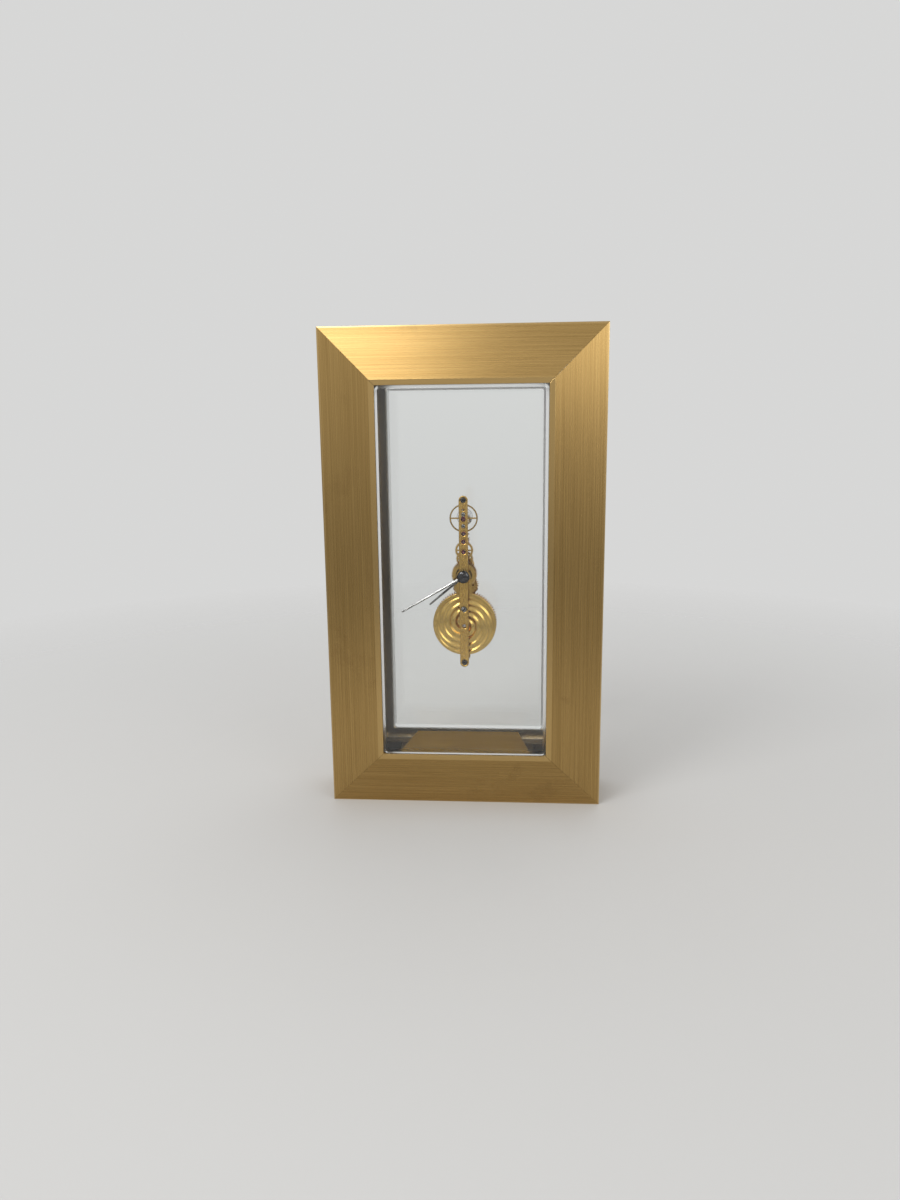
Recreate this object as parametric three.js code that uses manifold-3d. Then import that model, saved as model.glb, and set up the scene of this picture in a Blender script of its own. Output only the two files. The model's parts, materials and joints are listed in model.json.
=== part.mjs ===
// Desk clock: an in-line skeleton movement held between two clear plates in a mitred brass frame.
// Millimetres, +Z up, the front faces -Y, and the origin is the middle of the face it stands on.
import * as THREE from "three";
import { mergeVertices } from "three/addons/utils/BufferGeometryUtils.js";
import Module from "manifold-3d";

const wasm = await Module();
wasm.setup();

// Case: four mitred rails of one section, open towards the window
const caseWidth = 120;
const caseHeight = 208;
const edgeDepth = 30.4;
const bevelWidth = 21.7;
const bevelRise = 4.4;
const lipWidth = 2.3;
const lipThickness = 2;
const outerWall = 4;
const channelDepth = 20;
const mitreGap = 0.15;
const bracketLeg = 18;
const bracketThickness = 3;
const bracketDepth = 18;

// Clear plates: a flange behind the lip and a boss that fills the window
const flangeThickness = 3;
const flangeOverlap = 4;
const flangeClearance = 0.4;
const plateProud = 0.8;
const plateCorner = 2;
const plateChamfer = 1.2;
const bossClearance = 0.15;

// Spacers between the plates, and the screws that hold the lower one
const landFrontLength = 59;
const landBackLength = 48;
const footLength = 62;
const footClearance = 0.1;
const landStep = 0.4;
const baseScrewInset = 11;
const baseScrewRadius = 1.5;
const baseHeadRadius = 2.8;
const baseHeadHeight = 1.6;
const baseScrewReach = 9;

// Axes of the movement, sideways and upwards from the centre of the hands, which is a little below the middle
const movementDrop = 0.8;
const barrelAxis = new THREE.Vector2(0, -22.4);
const intermediateAxis = new THREE.Vector2(2.6, -5.9);
const motionAxis = new THREE.Vector2(0, -6.25);
const centreAxis = new THREE.Vector2(0, 0);
const thirdAxis = new THREE.Vector2(0, 6.2);
const fourthAxis = new THREE.Vector2(0, 10.5);
const escapeAxis = new THREE.Vector2(0, 14.9);
const palletAxis = new THREE.Vector2(0, 18.4);
const balanceAxis = new THREE.Vector2(0, 24.8);
const topScrewAxis = new THREE.Vector2(0, 32.75);
const bottomScrewAxis = new THREE.Vector2(0, -39.35);
const middleScrewAxis = new THREE.Vector2(0, -14.85);
const topPostAxis = new THREE.Vector2(0, 30.6);
const topMountAxis = new THREE.Vector2(0, 21.4);
const capScrewAbove = 1.95;
const capScrewBelow = 3.1;

// Teeth
const barrelTeeth = 75;
const intermediateLeaves = 15;
const intermediateTeeth = 20;
const centreLeaves = 20;
const centreTeeth = 56;
const thirdLeaves = 7;
const thirdTeeth = 45;
const fourthLeaves = 6;
const fourthTeeth = 60;
const escapeLeaves = 6;
const escapeTeeth = 15;
const cannonLeaves = 12;
const motionTeeth = 24;
const motionLeaves = 8;
const hourTeeth = 48;
const ratchetTeeth = 24;
const toothHead = 0.8;
const toothFoot = 1.6;
const tipShare = 0.12;

// Hands, shown at this time
const shownHour = 7;
const shownMinute = 40;
const minuteHandLength = 31.3;
const hourHandLength = 19.5;
const handWidth = 1.1;
const handTipWidth = 0.8;
const handThickness = 0.5;
const handHubRadius = 2.2;
const nutRadius = 2.75;
const nutHeight = 1.5;
const nutRim = 0.4;

// Bars, pillars and screws
const barWidth = 3.9;
const bridgeThickness = 1.8;
const barrelBridgeThickness = 1.2;
const bridgeOverlap = 11.6;
const stepHeight = -24.4;
const rearThickness = 1.8;
const waistHead = 8;
const waistTop = 1.5;
const waistUpper = 3.85;
const waistBottom = -8.5;
const waistLower = 5.6;
const waistFoot = -12;
const neckHalf = 1.1;
const mountBoss = 1.55;
const headHalf = 1.3;
const headThickness = 1.2;
const topPostRadius = 0.9;
const pillarRadius = 1.55;
const pillarStud = 0.8;
const studReach = 3;
const standoffRadius = 1.5;
const screwHeadRadius = 1.3;
const screwHeadHeight = 0.55;
const screwShankRadius = 0.75;
const screwReach = 3.2;
const middleReach = 0.9;
const slotWidth = 0.4;
const slotDepth = 0.3;
const mountHeadRadius = 1.9;
const mountHeadHeight = 1.2;
const mountSink = 1.5;
const mountReach = 4;
const capScrewRadius = 0.45;
const postRadius = 0.35;
const thirdPostRadius = 0.2;

// Jewels
const jewelRadius = 0.95;
const jewelInset = 0.1;
const pivotRadius = 0.15;
const pivotReach = 0.8;
const capJewelLength = 2.4;
const capJewelWidth = 1.9;

// Wheels and arbors
const wheelThickness = 0.6;
const motionThickness = 0.8;
const leafOverhang = 0.4;
const wheelRim = 0.75;
const wheelHub = 1.2;
const wheelArms = 4;
const armWidth = 0.6;
const arborRadius = 0.3;
const minuteArborRadius = 0.5;
const cannonRadius = 0.8;
const hourPipeRadius = 1.35;
const centrePipeRadius = 0.72;
const postPipeRadius = 0.65;
const thirdPipeRadius = 0.38;
const escapeRadius = 2.6;
const escapeToothDepth = 0.75;
const escapeArms = 3;
const sawUndercut = 0.12;

// Escapement and balance
const palletArborRadius = 0.18;
const leverHalfWidth = 0.28;
const palletReachShare = 0.59;
const palletDropShare = 0.37;
const bellyDrop = 0.65;
const shoulderHalf = 0.56;
const shoulderRise = 0.45;
const neckRise = 0.84;
const forkHalfWidth = 0.75;
const forkLength = 1.2;
const forkNotch = 0.35;
const forkGap = 0.3;
const rollerRadius = 1.2;
const balanceRadius = 6.1;
const balanceRim = 0.6;
const balanceThickness = 1;
const balanceHub = 1;
const staffRadius = 0.5;
const hairspringTurns = 5;
const hairspringPitch = 0.55;
const hairspringThickness = 0.1;
const hairspringInner = 0.9;
const hairspringHeight = 0.8;
const hairspringStud = 0.35;

// Barrel, ratchet and click
const barrelHeight = 6.6;
const drumRadius = 13.3;
const drumWall = 0.8;
const drumSides = 30;
const toothRing = 1.2;
const toothRingInset = 4.4;
const coverRadius = 14;
const coverThickness = 0.7;
const coverSpigot = 0.6;
const barrelShaft = 1.2;
const barrelFrontPivot = 0.8;
const barrelHub = 2.4;
const mainspringTurns = 5;
const mainspringPitch = 1.8;
const mainspringThickness = 0.3;
const springEndGap = 0.3;
const ratchetRadius = 6;
const ratchetToothDepth = 0.7;
const ratchetThickness = 1;
const clickPivotGap = 3;
const clickScrewRadius = 0.55;
const clickHubRadius = 1.2;
const clickHeadRadius = 1;
const clickNeck = 0.8;
const springStudGap = 3.4;
const clickSpringThickness = 0.3;

// Winding key and setting knob behind the rear plate
const keyGap = 0.6;
const keyHubRadius = 2.2;
const keyHubLength = 7;
const keyWingLength = 18;
const keyWingHeight = 7;
const keyWingThickness = 2;
const keyWingCorner = 3;
const keyEyeRadius = 1.6;
const keyEyeReach = 5.6;
const knobRadius = 3.2;
const knobLength = 5;

// Clearances
const seatGap = 0.05;
const runGap = 0.4;
const handGap = 0.5;
const nutGap = 0.65;
const shaftClearance = 0.05;
const holeClearance = 0.15;

const tau = Math.PI * 2;

// Depths, from the front face backwards
const faceDepth = edgeDepth + 2 * (bevelRise + plateProud);
const plateFace = faceDepth / 2;
const lipFront = edgeDepth / 2 + bevelRise;
const flangeOuter = lipFront - lipThickness - seatGap;
const plateInner = flangeOuter - flangeThickness;
const nutFront = -plateInner + nutGap;
const nutBack = nutFront + nutHeight;
const minuteFront = nutBack + seatGap;
const minuteBack = minuteFront + handThickness;
const hourFront = minuteBack + handGap;
const hourBack = hourFront + handThickness;
const bridgeFront = hourBack + handGap;
const bridgeBack = bridgeFront + bridgeThickness;
const barrelBridgeFront = bridgeBack + seatGap;
const barrelBridgeBack = barrelBridgeFront + barrelBridgeThickness;
const hourWheelFront = bridgeBack + runGap;
const hourWheelBack = hourWheelFront + motionThickness;
const motionFront = hourWheelBack + runGap;
const motionBack = motionFront + motionThickness;
const coverFront = Math.max(barrelBridgeBack, motionBack) + runGap;
const coverBack = coverFront + coverThickness;
const drumFront = coverBack + seatGap;
const drumBack = drumFront + barrelHeight;
const toothRingFront = drumFront + toothRingInset;
const toothRingBack = toothRingFront + toothRing;
const fourthFront = motionBack + 3 * runGap;
const fourthBack = fourthFront + wheelThickness;
const thirdPostEnd = fourthBack + runGap;
const thirdLeafFront = thirdPostEnd + runGap;
const centreFront = thirdLeafFront + leafOverhang;
const centreBack = centreFront + wheelThickness;
const thirdLeafBack = centreBack + leafOverhang;
const thirdFront = thirdLeafBack + runGap;
const thirdBack = thirdFront + wheelThickness;
const escapeFront = thirdLeafFront + leafOverhang;
const escapeBack = escapeFront + wheelThickness;
const balanceFront = bridgeBack + 3 * runGap;
const balanceBack = balanceFront + balanceThickness;
const headFront = balanceBack + handGap;
const headBack = headFront + headThickness;
const hairspringFront = escapeBack + 3 * runGap;
const hairspringBack = hairspringFront + hairspringHeight;
const intermediateFront = drumBack + runGap;
const intermediateBack = intermediateFront + wheelThickness;
const rearFront = Math.max(intermediateBack, hairspringBack) + runGap;
const rearBack = rearFront + rearThickness;
const ratchetFront = rearBack + runGap;
const ratchetBack = ratchetFront + ratchetThickness;
const keyFront = plateFace + keyGap;
const keyBack = keyFront + keyHubLength;
const knobBack = keyFront + knobLength;

// Heights
const windowEdge = bevelWidth + lipWidth;
const rebateEdge = windowEdge - flangeOverlap - flangeClearance;
const barHalf = barWidth / 2;
const bridgeTop = topScrewAxis.y + barHalf;
const bridgeBottom = bottomScrewAxis.y - barHalf;

// A closed geometry as a solid for joining and cutting.
function solidOf(geometry) {
  const bare = geometry.clone();
  bare.deleteAttribute("normal");
  bare.deleteAttribute("uv");
  const merged = mergeVertices(bare, 1e-4);
  const vertProperties = merged.attributes.position.array;
  const triVerts = new Uint32Array(merged.index.array);
  return new wasm.Manifold(new wasm.Mesh({ numProp: 3, vertProperties, triVerts }));
}

function geometryOf(solid) {
  const mesh = solid.getMesh();
  const geometry = new THREE.BufferGeometry();
  geometry.setAttribute("position", new THREE.BufferAttribute(mesh.vertProperties, 3));
  geometry.setIndex(new THREE.BufferAttribute(mesh.triVerts, 1));
  geometry.computeVertexNormals();
  return geometry;
}

function join(...geometries) {
  return geometryOf(geometries.map(solidOf).reduce((whole, piece) => whole.add(piece)));
}

function cut(geometry, ...tools) {
  return geometryOf(tools.map(solidOf).reduce((whole, tool) => whole.subtract(tool), solidOf(geometry)));
}

// Points along an arc in the plane of the movement, sideways and upwards.
function arc(radius, from, to, steps, centre = centreAxis) {
  const points = [];
  for (let i = 0; i <= steps; i += 1) {
    const angle = from + ((to - from) * i) / steps;
    points.push(new THREE.Vector2(centre.x + radius * Math.cos(angle), centre.y + radius * Math.sin(angle)));
  }
  return points;
}

// A many-sided hole that leaves its full radius clear.
function hole(radius, centre = centreAxis, sides = 8) {
  const reach = radius / Math.cos(Math.PI / sides);
  return new THREE.Path(arc(reach, 0, tau - tau / sides, sides - 1, centre));
}

function disc(radius, sides) {
  return new THREE.Shape(arc(radius, 0, tau - tau / sides, sides - 1));
}

// An outline in the plane of the movement, given its thickness from front to back.
function slab(shape, front, back) {
  const geometry = new THREE.ExtrudeGeometry(shape, { depth: back - front, bevelEnabled: false });
  geometry.rotateX(Math.PI / 2);
  geometry.translate(0, back, 0);
  return geometry;
}

// A turned piece about the depth axis, from pairs of radius and depth.
function turned(profile, sides = 12) {
  const points = profile.map(([radius, depth]) => new THREE.Vector2(radius, depth));
  return new THREE.LatheGeometry(points, sides);
}

// A turned shaft of steps, each a radius and the depth where that step ends.
function shaft(front, steps, sides = 10) {
  const profile = [[0, front]];
  let depth = front;
  for (const [radius, end] of steps) {
    profile.push([radius, depth], [radius, end]);
    depth = end;
  }
  profile.push([0, depth]);
  return turned(profile, sides);
}

// A turned pipe whose bore leaves the full inner radius clear.
function pipe(inner, outer, front, back, sides = 10) {
  const bore = inner / Math.cos(Math.PI / sides);
  const profile = [[bore, front], [outer, front], [outer, back], [bore, back], [bore, front]];
  return turned(profile, sides);
}

// Pitch radii of a wheel and a pinion in mesh, with a tooth of the wheel in a gap of the pinion.
function gearPair(wheelAxis, pinionAxis, teeth, leaves) {
  const towards = pinionAxis.clone().sub(wheelAxis);
  const wheelRadius = (towards.length() * teeth) / (teeth + leaves);
  return {
    wheelRadius,
    pinionRadius: towards.length() - wheelRadius,
    wheelTooth: towards.angle(),
    pinionTooth: towards.angle() + Math.PI + Math.PI / leaves,
  };
}

function tipRadius(teeth, pitchRadius) {
  return pitchRadius + (2 * toothHead * pitchRadius) / teeth;
}

function rootRadius(teeth, pitchRadius) {
  return pitchRadius - (2 * toothFoot * pitchRadius) / teeth;
}

// The outline of a wheel with straight-sided teeth, one of them centred on the angle toothAt.
function toothed(teeth, pitchRadius, toothAt) {
  const tip = tipRadius(teeth, pitchRadius);
  const root = rootRadius(teeth, pitchRadius);
  const step = tau / teeth;
  const points = [];
  for (let i = 0; i < teeth; i += 1) {
    const middle = toothAt + i * step;
    points.push(...arc(root, middle - step / 2, middle - step / 2, 1).slice(1));
    points.push(...arc(tip, middle - (tipShare * step) / 2, middle + (tipShare * step) / 2, 1));
  }
  return new THREE.Shape(points);
}

// Windows between the arms of a wheel.
function crossOut(shape, hubRadius, rimRadius, arms, width) {
  for (let i = 0; i < arms; i += 1) {
    const from = (i * tau) / arms;
    const to = ((i + 1) * tau) / arms;
    const outerShare = width / 2 / rimRadius;
    const innerShare = width / 2 / hubRadius;
    const outer = arc(rimRadius, from + outerShare, to - outerShare, 4);
    const inner = arc(hubRadius, to - innerShare, from + innerShare, 2);
    shape.holes.push(new THREE.Path([...outer, ...inner]));
  }
  return shape;
}

// A crossed-out wheel on a hub, with its bore.
function trainWheel(teeth, pair, front, bore) {
  const shape = toothed(teeth, pair.wheelRadius, pair.wheelTooth);
  crossOut(shape, wheelHub, rootRadius(teeth, pair.wheelRadius) - wheelRim, wheelArms, armWidth);
  shape.holes.push(hole(bore));
  return slab(shape, front, front + wheelThickness);
}

// A flat spring wound as a spiral, from its inner end outwards to the angle endAngle.
function spiralSpring({ inner, pitch, turns, thickness, front, back, endAngle, steps }) {
  const count = Math.round(turns * steps);
  const corners = [];
  const middles = [];
  for (let i = 0; i <= count; i += 1) {
    const angle = endAngle - ((count - i) * tau) / steps;
    const radius = inner + (pitch * i) / steps;
    const [low, high] = [radius - thickness / 2, radius + thickness / 2];
    const section = [[low, front], [high, front], [high, back], [low, back]];
    corners.push(...section.map(([r, y]) => [r * Math.cos(angle), y, r * Math.sin(angle)]));
    middles.push(new THREE.Vector2(radius * Math.cos(angle), radius * Math.sin(angle)));
  }
  const index = [0, 2, 1, 0, 3, 2];
  for (let i = 0; i < count; i += 1) {
    for (let side = 0; side < 4; side += 1) {
      const a = i * 4 + side;
      const b = i * 4 + ((side + 1) % 4);
      index.push(a, b, a + 4, b, b + 4, a + 4);
    }
  }
  const last = count * 4;
  index.push(last, last + 1, last + 2, last, last + 2, last + 3);
  const geometry = new THREE.BufferGeometry();
  geometry.setAttribute("position", new THREE.Float32BufferAttribute(corners.flat(), 3));
  geometry.setIndex(index);
  geometry.computeVertexNormals();
  const gaps = middles.slice(steps).map((point, i) => point.distanceTo(middles[i]) - thickness);
  return { geometry, gap: Math.min(...gaps), end: middles[count] };
}

// A slotted screw pointing backwards, with the front of its head at the given depth.
function slottedScrew(headRadius, headHeight, shankRadius, front, reach) {
  const headBack = front + headHeight;
  const body = shaft(front, [[headRadius, headBack], [shankRadius, headBack + reach]], 12);
  const slot = new THREE.BoxGeometry(4 * headRadius, 2 * slotDepth, slotWidth);
  slot.translate(0, front, 0);
  return cut(body, slot);
}

// A bar between two heights, with the ends rounded where asked.
function barShape(bottom, top, roundBottom, roundTop) {
  const points = [];
  if (roundTop) points.push(...arc(barHalf, 0, Math.PI, 8, new THREE.Vector2(0, top - barHalf)));
  else points.push(new THREE.Vector2(barHalf, top), new THREE.Vector2(-barHalf, top));
  if (roundBottom) points.push(...arc(barHalf, Math.PI, tau, 8, new THREE.Vector2(0, bottom + barHalf)));
  else points.push(new THREE.Vector2(-barHalf, bottom), new THREE.Vector2(barHalf, bottom));
  return new THREE.Shape(points);
}

// A slot with round ends that stands upright on a height.
function uprightSlot(width, length, height) {
  const reach = length / 2 - width / 2;
  const upper = arc(width / 2, 0, Math.PI, 6, new THREE.Vector2(0, height + reach));
  const lower = arc(width / 2, Math.PI, tau, 6, new THREE.Vector2(0, height - reach));
  return [...upper, ...lower];
}

function roundedRectangle(width, height, corner) {
  const points = [];
  const quarter = Math.PI / 2;
  const signs = [[1, 1], [-1, 1], [-1, -1], [1, -1]];
  signs.forEach(([sx, sy], i) => {
    const centre = new THREE.Vector2(sx * (width / 2 - corner), sy * (height / 2 - corner));
    points.push(...arc(corner, i * quarter, (i + 1) * quarter, 4, centre));
  });
  return new THREE.Shape(points);
}

const clock = new THREE.Group();
const movement = new THREE.Group();
movement.position.z = caseHeight / 2 - movementDrop;
clock.add(movement);

const brass = { color: 0xa98445, roughness: 0.34, metalness: 1 };
const gilt = { color: 0xd3a553, roughness: 0.28, metalness: 1 };
const steel = { color: 0xb9bcc0, roughness: 0.22, metalness: 1 };
const blued = { color: 0x2b2a3c, roughness: 0.3, metalness: 1 };
const ruby = { color: 0x7a1f4a, roughness: 0.1, metalness: 0 };
const clear = { color: 0xe8eef0, roughness: 0.05, metalness: 0, transparent: true, opacity: 0.25 };

function place(name, geometry, look, parent = movement, axis = centreAxis) {
  const mesh = new THREE.Mesh(geometry, new THREE.MeshStandardMaterial(look));
  mesh.name = name;
  mesh.position.set(axis.x, 0, axis.y);
  parent.add(mesh);
  return mesh;
}

// One rail: the section runs along X, and each point stops at the mitre for its distance from the edge.
function railGeometry(length) {
  const half = [
    [0, edgeDepth / 2],
    [bevelWidth, lipFront],
    [windowEdge, lipFront],
    [windowEdge, lipFront - lipThickness],
    [rebateEdge, lipFront - lipThickness],
    [rebateEdge, channelDepth / 2],
    [outerWall, channelDepth / 2],
  ];
  const front = half.map(([inward, depth]) => new THREE.Vector2(inward, -depth));
  const back = half.map(([inward, depth]) => new THREE.Vector2(inward, depth)).reverse();
  const section = new THREE.Shape([...front, ...back]);
  const geometry = new THREE.ExtrudeGeometry(section, { depth: 1, bevelEnabled: false });
  const places = geometry.attributes.position;
  for (let i = 0; i < places.count; i += 1) {
    const inward = places.getX(i);
    const along = (0.5 - places.getZ(i)) * (length - 2 * inward - mitreGap);
    places.setXYZ(i, along, places.getY(i), inward);
  }
  return geometry;
}

// Both spacers: a foot in the channel and a land between the plates, narrower at the back.
function spacerGeometry() {
  const footTop = rebateEdge - landStep;
  const footBase = outerWall + seatGap;
  const foot = new THREE.BoxGeometry(footLength, channelDepth - 2 * footClearance, footTop - footBase);
  foot.translate(0, 0, (footTop + footBase) / 2);
  const reach = plateInner - seatGap;
  const outline = new THREE.Shape([
    new THREE.Vector2(-landFrontLength / 2, -reach),
    new THREE.Vector2(landFrontLength / 2, -reach),
    new THREE.Vector2(landBackLength / 2, reach),
    new THREE.Vector2(-landBackLength / 2, reach),
  ]);
  const rise = windowEdge - landStep - footTop;
  const land = new THREE.ExtrudeGeometry(outline, { depth: rise + landStep, bevelEnabled: false });
  land.translate(0, 0, footTop - landStep);
  const relief = channelDepth / 2 - footClearance;
  const ledges = [-1, 1].map((side) => {
    const block = new THREE.BoxGeometry(2 * landFrontLength, reach, 2 * landStep);
    block.translate(0, side * (relief + reach / 2), footTop);
    return block;
  });
  return cut(join(foot, land), ...ledges);
}

// A hole drilled upwards from a height, for the screws under the base.
function drilled(radius, bottom, top, x) {
  const tool = shaft(bottom, [[radius / Math.cos(Math.PI / 14), top]], 14);
  tool.rotateX(Math.PI / 2);
  tool.translate(x, 0, 0);
  return tool;
}

// Case
const sideTurn = Math.PI / 2;
const baseHoles = [-1, 1].map((side) => side * (footLength / 2 - baseScrewInset));
const baseScrewTop = outerWall + baseScrewReach;
const railHoles = baseHoles.flatMap((x) => [
  drilled(baseScrewRadius + holeClearance, -1, outerWall + 1, x),
  drilled(baseHeadRadius + holeClearance, -1, seatGap * 2 + baseHeadHeight, x),
]);
const threadRadius = baseScrewRadius + shaftClearance;
const spacerHoles = baseHoles.map((x) => drilled(threadRadius, outerWall, baseScrewTop + 1, x));
place("bottom_rail", cut(railGeometry(caseWidth), ...railHoles), brass, clock);
const topRail = place("top_rail", railGeometry(caseWidth), brass, clock);
topRail.rotation.y = Math.PI;
topRail.position.z = caseHeight;
[["left_rail", -1], ["right_rail", 1]].forEach(([name, side]) => {
  const rail = place(name, railGeometry(caseHeight), brass, clock);
  rail.rotation.y = -side * sideTurn;
  rail.position.set((side * caseWidth) / 2, 0, caseHeight / 2);
});
place("bottom_spacer", cut(spacerGeometry(), ...spacerHoles), brass, clock);
const topSpacer = place("top_spacer", spacerGeometry(), brass, clock);
topSpacer.rotation.y = Math.PI;
topSpacer.position.z = caseHeight;
baseHoles.forEach((x, i) => {
  const reach = baseScrewTop - baseHeadHeight;
  const screw = slottedScrew(baseHeadRadius, baseHeadHeight, baseScrewRadius, seatGap, reach);
  screw.rotateX(Math.PI / 2);
  const mesh = place(i ? "base_screw_right" : "base_screw_left", screw, steel, clock);
  mesh.position.x = x;
});

const cornerNames = ["bracket_bottom_left", "bracket_bottom_right", "bracket_top_right", "bracket_top_left"];
cornerNames.forEach((name, i) => {
  const start = outerWall + seatGap;
  const inside = start + bracketThickness;
  const outline = new THREE.Shape([
    new THREE.Vector2(start, start),
    new THREE.Vector2(start + bracketLeg, start),
    new THREE.Vector2(start + bracketLeg, inside),
    new THREE.Vector2(inside, inside),
    new THREE.Vector2(inside, start + bracketLeg),
    new THREE.Vector2(start, start + bracketLeg),
  ]);
  const bracket = place(name, slab(outline, -bracketDepth / 2, bracketDepth / 2), steel, clock);
  bracket.rotation.y = -i * sideTurn;
  const right = i === 1 || i === 2;
  const upper = i > 1;
  bracket.position.set(right ? caseWidth / 2 : -caseWidth / 2, 0, upper ? caseHeight : 0);
});

// A clear plate facing the front: a boss with a chamfered edge on a wider flange.
function plateGeometry() {
  const windowWidth = caseWidth - 2 * windowEdge;
  const windowHeight = caseHeight - 2 * windowEdge;
  const spread = 2 * flangeOverlap;
  const flange = roundedRectangle(windowWidth + spread, windowHeight + spread, plateCorner);
  const inset = 2 * (bossClearance + plateChamfer);
  const top = roundedRectangle(windowWidth - inset, windowHeight - inset, plateCorner - plateChamfer / 2);
  const straight = plateFace - flangeOuter - plateChamfer;
  const boss = new THREE.ExtrudeGeometry(top, {
    depth: straight + seatGap,
    bevelSize: plateChamfer,
    bevelThickness: plateChamfer,
    bevelSegments: 1,
  });
  boss.rotateX(Math.PI / 2);
  boss.translate(0, -plateFace + plateChamfer + straight + seatGap, 0);
  return join(slab(flange, -flangeOuter, -plateInner), boss);
}

const plateCentre = new THREE.Vector2(0, movementDrop);
place("front_plate", plateGeometry(), clear, movement, plateCentre);
const plateHoles = [topMountAxis, bottomScrewAxis].flatMap((axis) => {
  const through = shaft(plateInner - 1, [[screwShankRadius + holeClearance, plateFace + 1]]);
  const sink = shaft(plateFace - mountSink, [[mountHeadRadius + holeClearance, plateFace + 1]], 20);
  return [through, sink].map((tool) => tool.translate(axis.x, 0, axis.y));
});
const arborHoles = [[barrelAxis, barrelShaft], [centreAxis, minuteArborRadius]].map(([axis, radius]) => {
  const through = shaft(plateInner - 1, [[radius + 2 * holeClearance, plateFace + 1]], 16);
  return through.translate(axis.x, 0, axis.y);
});
const rearPlate = plateGeometry().rotateZ(Math.PI).translate(0, 0, movementDrop);
place("rear_plate", cut(rearPlate, ...plateHoles, ...arborHoles), clear);

// Fixed bars of the movement
const capHeights = [capScrewAbove, -capScrewBelow];
const capScrewAxes = capHeights.map((height) => new THREE.Vector2(0, balanceAxis.y + height));
const jewelAxes = { pallet_jewel: palletAxis, escape_jewel: escapeAxis, fourth_jewel: fourthAxis };
const trainBar = barShape(stepHeight, bridgeTop, false, true);
trainBar.holes.push(hole(screwShankRadius + holeClearance, topScrewAxis));
trainBar.holes.push(hole(screwShankRadius + holeClearance, middleScrewAxis));
trainBar.holes.push(hole(hourPipeRadius + holeClearance, centreAxis, 16));
trainBar.holes.push(...capScrewAxes.map((axis) => hole(capScrewRadius + shaftClearance, axis, 8)));
trainBar.holes.push(...Object.values(jewelAxes).map((axis) => hole(jewelRadius + shaftClearance, axis)));
trainBar.holes.push(hole(barrelFrontPivot + holeClearance, barrelAxis, 12));
const capRoom = 2 * shaftClearance;
const capSlot = uprightSlot(capJewelWidth + capRoom, capJewelLength + capRoom, balanceAxis.y);
trainBar.holes.push(new THREE.Path(capSlot));
const motionStud = shaft(bridgeBack - bridgeThickness / 2, [[postRadius, motionBack - seatGap]]);
motionStud.translate(motionAxis.x, 0, motionAxis.y);
place("train_bridge", join(slab(trainBar, bridgeFront, bridgeBack), motionStud), gilt);

const barrelBar = barShape(bridgeBottom, -bridgeOverlap, true, false);
barrelBar.holes.push(hole(screwShankRadius + holeClearance, bottomScrewAxis));
barrelBar.holes.push(hole(screwShankRadius + shaftClearance, middleScrewAxis));
barrelBar.holes.push(hole(barrelFrontPivot + shaftClearance, barrelAxis));
place("barrel_bridge", slab(barrelBar, barrelBridgeFront, barrelBridgeBack), gilt);

const clickAxis = new THREE.Vector2(0, barrelAxis.y + ratchetRadius + clickPivotGap);
const springStudAxis = new THREE.Vector2(0, clickAxis.y + springStudGap);
const bossReach = Math.acos(neckHalf / mountBoss);
const rearRight = [
  ...arc(barHalf, -Math.PI / 2, 0, 4, bottomScrewAxis),
  new THREE.Vector2(barHalf, waistFoot),
  new THREE.Vector2(waistLower, waistBottom),
  new THREE.Vector2(waistUpper, waistTop),
  new THREE.Vector2(neckHalf, waistHead),
  ...arc(mountBoss, -bossReach, bossReach, 4, topMountAxis),
  ...arc(neckHalf, 0, Math.PI / 2, 4, topPostAxis),
];
const rearLeft = rearRight.slice(1, -1).map((point) => new THREE.Vector2(-point.x, point.y)).reverse();
const rearBar = new THREE.Shape([...rearRight, ...rearLeft]);
rearBar.holes.push(...[topMountAxis, bottomScrewAxis].map((axis) => hole(pillarStud + shaftClearance, axis)));
rearBar.holes.push(hole(barrelShaft + shaftClearance, barrelAxis, 14));
rearBar.holes.push(hole(minuteArborRadius + shaftClearance, centreAxis));
const pivotAxes = [fourthAxis, escapeAxis, palletAxis, balanceAxis];
rearBar.holes.push(...pivotAxes.map((axis) => hole(pivotRadius + shaftClearance, axis, 8)));
rearBar.holes.push(hole(clickScrewRadius + shaftClearance, clickAxis));
const headSpan = topScrewAxis.y - topPostAxis.y;
const headMiddle = (topScrewAxis.y + topPostAxis.y) / 2;
const headShape = new THREE.Shape(uprightSlot(2 * headHalf, headSpan + 2 * headHalf, headMiddle));
headShape.holes.push(hole(pillarStud + shaftClearance, topScrewAxis));
const head = slab(headShape, headFront, headBack);
const hairspring = spiralSpring({
  inner: hairspringInner,
  pitch: hairspringPitch,
  turns: hairspringTurns,
  thickness: hairspringThickness,
  front: hairspringFront,
  back: hairspringBack,
  endAngle: Math.PI / 2,
  steps: 16,
});
const studHeight = hairspring.end.y + hairspringThickness / 2 + seatGap + hairspringStud;
const rearMiddle = rearFront + rearThickness / 2;
const rearPosts = [
  [intermediateAxis, postRadius, toothRingFront - leafOverhang - runGap],
  [topPostAxis, topPostRadius, (headFront + headBack) / 2],
  [thirdAxis, thirdPostRadius, thirdPostEnd],
  [new THREE.Vector2(0, balanceAxis.y + studHeight), hairspringStud, hairspringFront],
].map(([axis, radius, front]) => shaft(front, [[radius, rearMiddle]]).translate(axis.x, 0, axis.y));
const springStud = shaft(rearMiddle, [[clickScrewRadius, ratchetBack]]);
springStud.translate(springStudAxis.x, 0, springStudAxis.y);
place("rear_bridge", join(slab(rearBar, rearFront, rearBack), head, ...rearPosts, springStud), gilt);
place("hairspring", hairspring.geometry, blued, movement, balanceAxis);

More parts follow.
